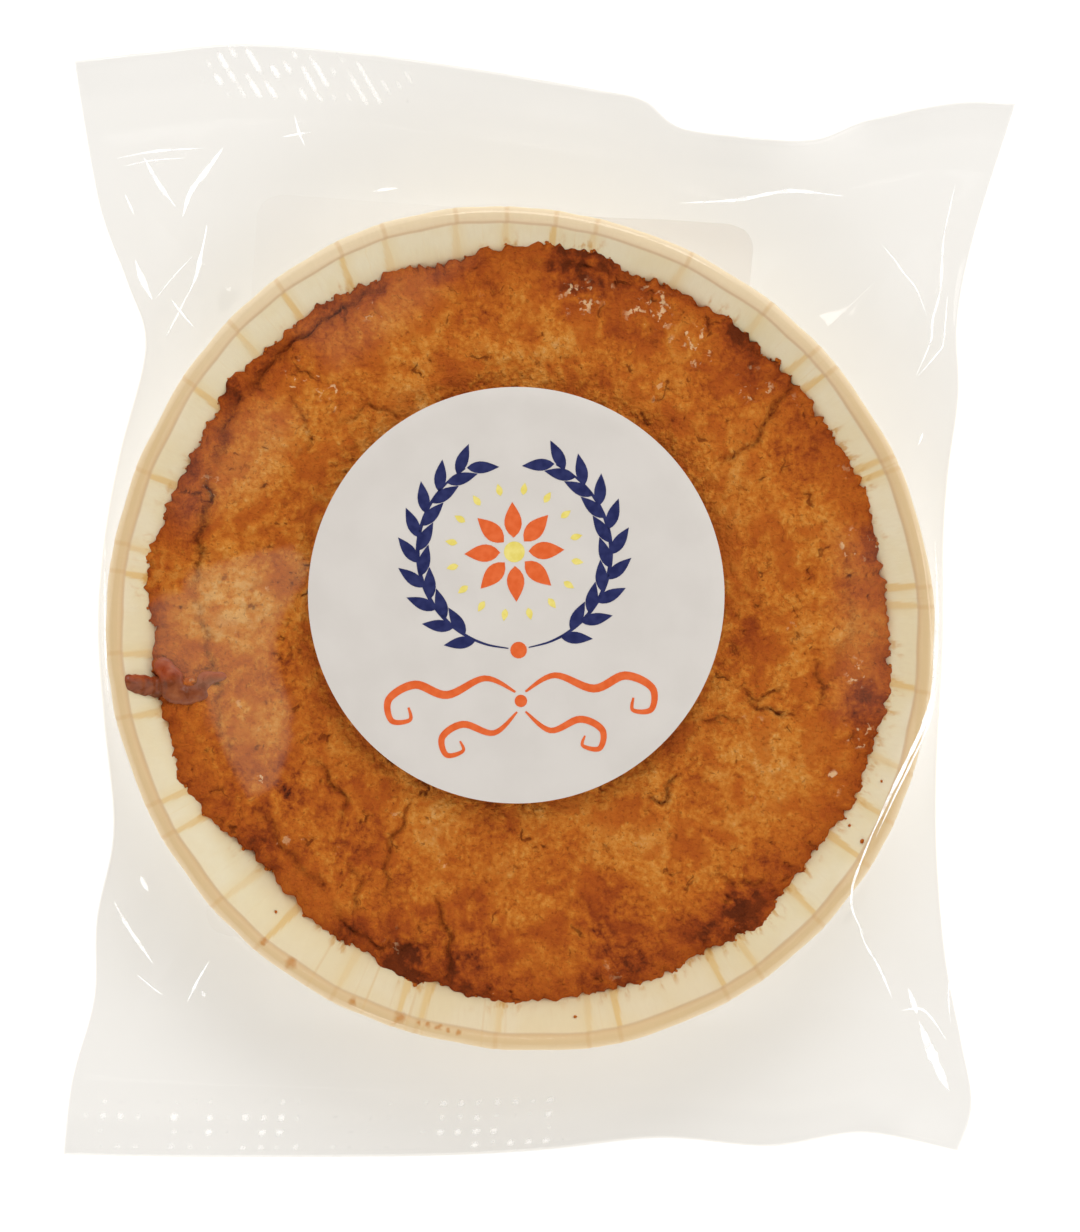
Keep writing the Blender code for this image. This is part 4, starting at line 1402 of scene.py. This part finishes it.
def crumb_tree():
    """A crumb at each point, of the size stored there, each turned another way."""
    tree = GeometryTree("Crumbs", {"Crumb Sides": 7, "Crumb Rings": 4, "Seed": 5})
    inputs = {"Segments": tree.inputs["Crumb Sides"], "Rings": tree.inputs["Crumb Rings"], "Radius": MM}
    crumb = tree.add("GeometryNodeMeshUVSphere", inputs)
    push = tree.scaled(tree.drift(tree.place, 0.8), 1.4 * MM)
    crumb = tree.add("GeometryNodeSetShadeSmooth", {0: tree.moved(crumb, push)})
    inputs = {0: (0.0, 0.0, 0.0), 1: (6.28, 6.28, 6.28), "Seed": tree.inputs["Seed"]}
    turn = tree.add("FunctionNodeRandomValue", inputs, data_type="FLOAT_VECTOR")
    size = tree.number("size")
    inputs = {
        "Points": tree.inputs["Geometry"], "Instance": crumb, "Scale": tree.combine(size, size, size),
        "Rotation": tree.add("FunctionNodeEulerToRotation", {0: turn}),
    }
    return tree.finish(tree.add("GeometryNodeInstanceOnPoints", inputs))


CRUMB_COUNT = 420
CRUMB_SEED = 9

# Larger crumbs on the wall and the rim: a place and a size
LOOSE_CRUMBS = (
    ((13.9, -43.9), 0.32), ((14.8, -44.6), 0.26), ((15.9, -44.0), 0.3), ((16.7, -44.8), 0.2),
    ((12.8, -45.5), 0.18), ((4.5, -50.2), 0.22), ((39.0, -29.0), 0.3), ((37.6, -27.2), 0.2),
    ((41.4, -21.8), 0.18), ((-31.6, -37.6), 0.2),
)


def make_crumbs(material):
    """Fine crumbs along the crust's edge, and the larger loose ones."""
    random = np.random.default_rng(CRUMB_SEED)
    heading = random.uniform(0.0, 2 * np.pi, CRUMB_COUNT)
    edge = crust_reach(CASE_COLUMNS)[(heading / (2 * np.pi) * CASE_COLUMNS).astype(int)]
    radius = edge + random.uniform(-0.5, 0.0, CRUMB_COUNT)
    size = 0.1 + 0.2 * random.uniform(0.0, 1.0, CRUMB_COUNT) ** 2
    places = np.array([place for place, _ in LOOSE_CRUMBS])
    heading = np.concatenate((heading, headings_of(places)))
    radius = np.concatenate((radius, reach_from(CASE_CENTRE, places)))
    size = np.concatenate((size, [largest for _, largest in LOOSE_CRUMBS]))
    height = np.maximum(wall_height(radius, heading), 14.0) + 0.3 * size
    out = radius[:, None] * np.column_stack((np.cos(heading), np.sin(heading)))
    points = np.column_stack((CASE_CENTRE + out, height))
    return shape_with(make_mesh("crumbs", points, [], material, {"size": size}), crumb_tree(), material)


# The label

LABEL_GAP = 0.08
LABEL_THICKNESS = 0.14
LABEL_COLUMNS = 180


def label_top(points):
    return crown_height(reach_from(CASE_CENTRE, points)) + LABEL_GAP + LABEL_THICKNESS


def make_label(material):
    """A thin round sticker that follows the film's crown, with a soft edge."""
    rows = [(radius, 0.0) for radius in np.linspace(3.0, LABEL_RADIUS - 0.1, 14)]
    rows += [(LABEL_RADIUS, -0.05), (LABEL_RADIUS, -LABEL_THICKNESS + 0.02)]
    rows += [(radius, -LABEL_THICKNESS) for radius in (LABEL_RADIUS - 0.05, 12.0, 3.0)]
    middle = label_top(LABEL_CENTRE)
    rings = [[(*LABEL_CENTRE, middle)]]
    for radius, lift in rows:
        plan_points = disc_outline(LABEL_CENTRE, radius, LABEL_COLUMNS)
        rings.append(np.column_stack((plan_points, label_top(plan_points) + lift)))
    rings.append([(*LABEL_CENTRE, middle - LABEL_THICKNESS)])
    points, faces = closed_form(rings)
    return make_mesh("label", points, faces, material, smooth_angle=50)


def label_paper_material():
    nodes = MaterialTree("label_paper")
    cloud = nodes.noise(nodes.place, 6.0, 4.0)
    base = nodes.mix(nodes.span(cloud, 0.3, 0.7), (0.665, 0.625, 0.585, 1.0), (0.695, 0.655, 0.615, 1.0))
    bump = nodes.bump(nodes.noise(nodes.place, 0.3, 3.0), 0.12, 0.00005)
    return nodes.finish(nodes.principled(base, nodes.span(cloud, 0.2, 0.8, 0.45, 0.55), bump))


# The label's print

INK_THICKNESS = 0.03
LABEL_TURN = 2.5


def inlay(name, outlines, material):
    """Thin closed pieces of ink from outlines on the label, in the label's own millimetres."""
    points, faces = [], []
    for outline in outlines:
        upper = len(points) + np.arange(len(outline))
        lower = upper + len(outline)
        for lift in (INK_THICKNESS, -INK_THICKNESS):
            points += np.column_stack((outline, np.full(len(outline), lift))).tolist()
        faces += [upper.tolist(), lower[::-1].tolist()]
        faces += np.column_stack((lower, np.roll(lower, -1), np.roll(upper, -1), upper)).tolist()
    return make_mesh(name, points, faces, material, smooth_angle=30)


def leaf_outline(length, width, steps=8):
    """A pointed leaf that starts at the origin and lies along +X."""
    share = np.linspace(0.0, 1.0, steps + 1)
    half = width / 2 * np.sin(np.pi * share**0.8)
    lower = np.stack((length * share, -half), axis=1)
    upper = np.stack((length * share, half), axis=1)[1:-1]
    return np.concatenate((lower, upper[::-1]))


def stroke_outline(line, half_width):
    """A tapered stroke along a smooth line, as one closed outline."""
    run = smooth_run(line, 8)
    shares = lengths_along(run) / lengths_along(run)[-1]
    step = np.gradient(run, axis=0)
    across = np.column_stack((-step[:, 1], step[:, 0])) / np.linalg.norm(step, axis=1)[:, None]
    half = half_width * (0.25 + 0.75 * np.sin(np.pi * np.clip(shares, 0.0, 1.0)) ** 0.8)
    beside = across * half[:, None]
    return np.concatenate((run - beside, (run + beside)[::-1]))


def print_tree():
    """Repeats a printed motif round a point of the label, and lays it on the label's crown."""
    sizes = {
        "Count": 1, "First Heading": 0.0, "Heading Step": 0.0, "Ring Radius": 0.0, "Lean": 0.0,
        "Centre Y": 0.0,
    }
    tree = GeometryTree("Printed motif", sizes)
    number = tree.add("GeometryNodeInputIndex")
    heading = tree.times_plus(number, tree.inputs["Heading Step"], tree.inputs["First Heading"])
    heading = tree.math("RADIANS", heading)
    reach = tree.inputs["Ring Radius"]
    x = tree.times(tree.math("COSINE", heading), reach)
    y = tree.times_plus(tree.math("SINE", heading), reach, tree.inputs["Centre Y"])
    spots = tree.scaled(tree.combine(x, y, 0.0), MM)
    spots = tree.add("GeometryNodePoints", {"Count": tree.inputs["Count"], "Position": spots})
    turned = tree.plus(heading, tree.math("RADIANS", tree.inputs["Lean"]))
    turn = tree.add("FunctionNodeEulerToRotation", {0: tree.combine(0.0, 0.0, turned)})
    inputs = {"Points": spots, "Instance": tree.inputs["Geometry"], "Rotation": turn}
    real = tree.add("GeometryNodeRealizeInstances", {0: tree.add("GeometryNodeInstanceOnPoints", inputs)})
    inputs = {"Vector": tree.place, "Angle": math.radians(LABEL_TURN)}
    turned = tree.add("ShaderNodeVectorRotate", inputs, rotation_type="Z_AXIS")
    x, y, lift = tree.separate(tree.vector("ADD", turned, (*LABEL_CENTRE, 0.0)))
    radius = tree.distance(tree.combine(x, y, 0.0), (*CASE_CENTRE, 0.0))
    share = tree.math("POWER", tree.over(radius, DIP_RADIUS), 2.0)
    crown = tree.times_plus(share, DIP_HEIGHT - CROWN_HEIGHT, CROWN_HEIGHT + LABEL_GAP + LABEL_THICKNESS)
    return tree.finish(tree.put(real, tree.scaled(tree.combine(x, y, tree.plus(lift, crown)), MM)))


# The scroll's strokes on the right, which are mirrored for the left: a line and a half width
SCROLLS = (
    (((0.6, -11.6), (4.2, -9.8), (8.8, -11.6), (12.6, -10.2), (15.8, -11.8), (15.6, -14.4), (13.4, -14.4),
      (13.5, -12.9)), 0.5),
    (((0.5, -14.0), (3.4, -16.4), (7.0, -15.2), (9.6, -16.6), (9.2, -18.8), (7.2, -18.4),
      (7.5, -17.2)), 0.42),
)
WREATH_RADIUS = 11.6
WREATH_RISE = 5.2


def make_print(navy, orange, yellow):
    """A generic printed design: a wreath of leaves, a flower in it and a scroll below."""
    tree = print_tree()
    arcs = []
    for side in (-1, 1):
        headings = np.radians(np.linspace(-84.0, 62.0, 12))
        out = WREATH_RADIUS * np.column_stack((side * np.cos(headings), np.sin(headings)))
        arcs.append(stroke_outline(out + (0.0, WREATH_RISE), 0.24))
    strokes = [
        stroke_outline(np.array(line) * (side, 1), width) for side in (1, -1) for line, width in SCROLLS
    ]
    dots = [disc_outline((0.0, -12.7), 0.75, 16), disc_outline((0.0, -6.6), 1.0, 18)]
    leaf = [leaf_outline(3.9, 1.45)]
    pieces = []
    for name, ink, outlines, count, step, first, radius, lean, rise in (
        ("print_navy_1", navy, leaf, 9, -15.0, 244.0, WREATH_RADIUS, -58.0, WREATH_RISE),
        ("print_navy_2", navy, leaf, 9, -15.0, 237.0, WREATH_RADIUS, -118.0, WREATH_RISE),
        ("print_navy_3", navy, leaf, 9, 15.0, -64.0, WREATH_RADIUS, 58.0, WREATH_RISE),
        ("print_navy_4", navy, leaf, 9, 15.0, -57.0, WREATH_RADIUS, 118.0, WREATH_RISE),
        ("print_navy_5", navy, arcs, 1, 0.0, 0.0, 0.0, 0.0, 0.0),
        ("print_orange_1", orange, [leaf_outline(4.3, 2.1)], 8, 45.0, 0.0, 1.7, 0.0, WREATH_RISE),
        ("print_orange_2", orange, strokes, 1, 0.0, 0.0, 0.0, 0.0, 0.0),
        ("print_orange_3", orange, dots, 1, 0.0, 0.0, 0.0, 0.0, 0.0),
        ("print_yellow_1", yellow, [disc_outline((0.0, 0.0), 1.25)], 1, 0.0, 0.0, 0.0, 0.0, WREATH_RISE),
        ("print_yellow_2", yellow, [leaf_outline(1.5, 0.8, 5)], 16, 22.5, 11.25, 6.9, 0.0, WREATH_RISE),
    ):
        values = {"Count": count, "Heading Step": step, "First Heading": first, "Ring Radius": radius}
        motif = inlay(name, outlines, ink)
        pieces.append(shape_with(motif, tree, ink, **values, **{"Lean": lean, "Centre Y": rise}))
    return pieces


def ink_material(name, dark, pale):
    """Printed ink that is slightly uneven over the paper's grain."""
    nodes = MaterialTree(name)
    cloud = nodes.noise(nodes.place, 0.8, 4.0)
    color = nodes.mix(nodes.span(cloud, 0.3, 0.7), (*dark, 1.0), (*pale, 1.0))
    return nodes.finish(nodes.principled(color, nodes.span(cloud, 0.2, 0.8, 0.32, 0.45)))


# The plain label on the back

BACK_CENTRE = np.array((-7.3, 2.3))
BACK_SIZE = (61.3, 91.9)
BACK_TURN = -4.2
BACK_CORNER = 3.0
# The heights of its two sides from the lower film
BACK_LIFTS = (-0.03, -0.11)


def make_back_label(form, material):
    """A thin label with rounded corners under the case, on the outer side of the lower film."""
    half_x, half_y = BACK_SIZE[0] / 2, BACK_SIZE[1] / 2
    straight = half_y - BACK_CORNER
    corner_rows = np.linspace(straight, half_y, 7)[1:]
    rows = np.concatenate((-corner_rows[::-1], np.linspace(-straight, straight, 40), corner_rows))
    depth = np.maximum(abs(rows) - straight, 0.0)
    inset = BACK_CORNER - np.sqrt(np.maximum(BACK_CORNER**2 - depth**2, 0.0))
    x = (half_x - inset)[:, None] * np.linspace(-1.0, 1.0, 36)
    y = np.broadcast_to(rows[:, None], x.shape)
    cosine, sine = math.cos(math.radians(BACK_TURN)), math.sin(math.radians(BACK_TURN))
    plan_points = BACK_CENTRE + np.stack((x * cosine - y * sine, x * sine + y * cosine), axis=-1)
    heights = form.underside(plan_points)
    layers = [np.dstack((plan_points, heights + lift)).reshape(-1, 3) for lift in BACK_LIFTS]
    count = len(layers[0])
    grid = np.arange(count).reshape(x.shape)
    faces = []
    for below, above in zip(grid, grid[1:]):
        faces += band_faces(below, above)
        faces += band_faces(above + count, below + count)
    border = np.concatenate((grid[0, :-1], grid[:-1, -1], grid[-1, :0:-1], grid[:0:-1, 0]))
    faces += ring_faces(border, border + count)
    return make_mesh("back_label", np.concatenate(layers), faces, material, smooth_angle=40)


def thin_label_material():
    """A thin label that lets most of the light through."""
    nodes = MaterialTree("thin_label")
    cloud = nodes.noise(nodes.place, 5.0, 4.0)
    color = nodes.mix(cloud, (0.80, 0.76, 0.74, 1.0), (0.86, 0.82, 0.80, 1.0))
    white = nodes.add("ShaderNodeBsdfDiffuse", {"Color": color})
    clear = nodes.add("ShaderNodeBsdfTransparent", {"Color": (0.975, 0.965, 0.957, 1.0)})
    # It shows less at its left, where the film under it lies closer
    x, _, _ = nodes.separate(nodes.place)
    shows = nodes.span(x, -14.0, 8.0, 0.2, 1.0)
    bare = nodes.add("ShaderNodeBsdfTransparent", {"Color": (1.0, 1.0, 1.0, 1.0)})
    return nodes.finish(nodes.blend(shows, bare, nodes.blend(0.05, clear, white)))


# Stage

TABLE_RADIUS = 1500.0
CAMERA_PLACE = np.array((0.25, -1.9, 600.0))
# What the camera sees at the label's height: the height of its view, at this distance below it
VIEW_HEIGHT = 147.84
VIEW_DISTANCE = 581.0
SENSOR = 36.0
LAMP_TARGET = (0.0, 0.0, 10.0)
LAMP_DISTANCE = 1200.0
# Each lamp's heading, tilt, width, length and radiance
LAMPS = {
    "key": (80.0, 44.0, 520.0, 520.0, 4.0),
    "low": (262.0, 46.0, 520.0, 300.0, 2.8),
    "right": (5.0, 48.0, 300.0, 420.0, 2.0),
}


def make_stage(plan):
    """A pale table, a little brighter beyond the bag's outline as the camera sees it."""
    nodes = MaterialTree("table")
    shade = nodes.add("ShaderNodeBsdfDiffuse", {"Color": (0.74, 0.74, 0.74, 1.0)})
    # The table's glow is painted light, stronger beyond the bag's outline than under the bag
    strength = nodes.times_plus(nodes.number("beyond"), 0.3, 0.235)
    glow = nodes.add("ShaderNodeEmission", {"Color": (1.0, 1.0, 1.0, 1.0), "Strength": strength})
    material = nodes.finish(nodes.add("ShaderNodeAddShader", {0: shade, 1: glow}))
    shares = np.arange(120) / 120
    ends = np.concatenate((shares, np.ones(120), 1 - shares, np.zeros(120)))
    sides = np.roll(ends, 120)
    outline = plan.points(ends, sides)
    height = edge_height(outline)[:, None]
    outline = CAMERA_PLACE[:2] + (outline - CAMERA_PLACE[:2]) * CAMERA_PLACE[2] / (CAMERA_PLACE[2] - height)
    far = outline / np.linalg.norm(outline, axis=1)[:, None] * TABLE_RADIUS
    plan_points = np.concatenate(([(0.0, 0.0)], outline * 0.996, outline * 1.004, far))
    ring = 1 + np.arange(len(outline))
    further = ring + len(outline)
    faces = fan_faces(0, ring) + ring_faces(ring, further) + ring_faces(further, further + len(outline))
    beyond = np.arange(len(plan_points)) > len(outline)
    points = np.column_stack((plan_points, np.zeros(len(plan_points))))
    floor = make_mesh("floor", points, faces, material, {"beyond": beyond})


def make_lamp(name, heading, tilt, width, length, radiance):
    """A flat lamp with an even radiance, at a heading about +Z and a tilt from straight up."""
    lamp = bpy.data.lights.new(name, "AREA")
    lamp.shape = "RECTANGLE"
    lamp.size = width * MM
    lamp.size_y = length * MM
    lamp.energy = radiance * math.pi * lamp.size * lamp.size_y
    heading, tilt = math.radians(heading), math.radians(tilt)
    away = Vector((math.sin(tilt) * math.cos(heading), math.sin(tilt) * math.sin(heading), math.cos(tilt)))
    shown = bpy.data.objects.new(name, lamp)
    shown.location = (Vector(LAMP_TARGET) + away * LAMP_DISTANCE) * MM
    shown.rotation_euler = away.to_track_quat("Z", "Y").to_euler()
    bpy.context.scene.collection.objects.link(shown)


def make_world():
    """A pale tent that is bright at the sides and dark straight above, so that the film stays clear."""
    world = bpy.data.worlds.new("tent")
    bpy.context.scene.world = world
    world.use_nodes = True
    world.node_tree.nodes.clear()
    nodes = Nodes(world.node_tree)
    _, _, up = nodes.separate(nodes.add("ShaderNodeTexCoord", output=0))
    strength = nodes.span(up, 0.7, 0.92, 1.12, 0.03)
    sky = nodes.add("ShaderNodeBackground", {"Color": (1.0, 0.985, 0.96, 1.0), "Strength": strength})
    output = world.node_tree.nodes.new("ShaderNodeOutputWorld")
    nodes.feed(output.inputs["Surface"], sky)


def make_camera():
    data = bpy.data.cameras.new("camera")
    data.sensor_width = SENSOR
    data.lens = SENSOR * VIEW_DISTANCE / VIEW_HEIGHT
    data.clip_start = 0.01
    data.clip_end = 10.0
    camera = bpy.data.objects.new("camera", data)
    camera.location = Vector(CAMERA_PLACE) * MM
    bpy.context.scene.collection.objects.link(camera)
    bpy.context.scene.camera = camera


# Putting it together


def keep(piece, node):
    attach(piece, "root")
    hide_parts(node)


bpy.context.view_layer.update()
make_camera()
make_world()
for name, settings in LAMPS.items():
    make_lamp(name, *settings)

form = FilmForm()
make_stage(form.plan)
crust = cake_crust_material()
film = make_film(form, clear_film_material())
fold_highlights = make_fold_highlights(form, fold_highlight_material())
back_label = make_back_label(form, thin_label_material())
# Pieces this thin and clear cast no shadow and dim no bounced light worth tracing
for piece in (film, fold_highlights, back_label):
    piece.visible_shadow = False
    piece.visible_diffuse = False
keep(film, "bag")
keep(fold_highlights, "bag")
keep(make_case(case_paper_material()), "bag")
keep(make_cake(crust), "bag")
keep(make_filling(fruit_filling_material()), "bag")
keep(make_crumbs(crust), "bag")
keep(back_label, "bag")
keep(make_label(label_paper_material()), "label")
inks = (
    ink_material("ink_navy", (0.012, 0.016, 0.085), (0.02, 0.026, 0.12)),
    ink_material("ink_orange", (0.74, 0.115, 0.022), (0.80, 0.15, 0.035)),
    ink_material("ink_yellow", (0.80, 0.66, 0.14), (0.86, 0.74, 0.22)),
)
for piece in make_print(*inks):
    keep(piece, "label")

bpy.context.scene.view_settings.view_transform = "Standard"
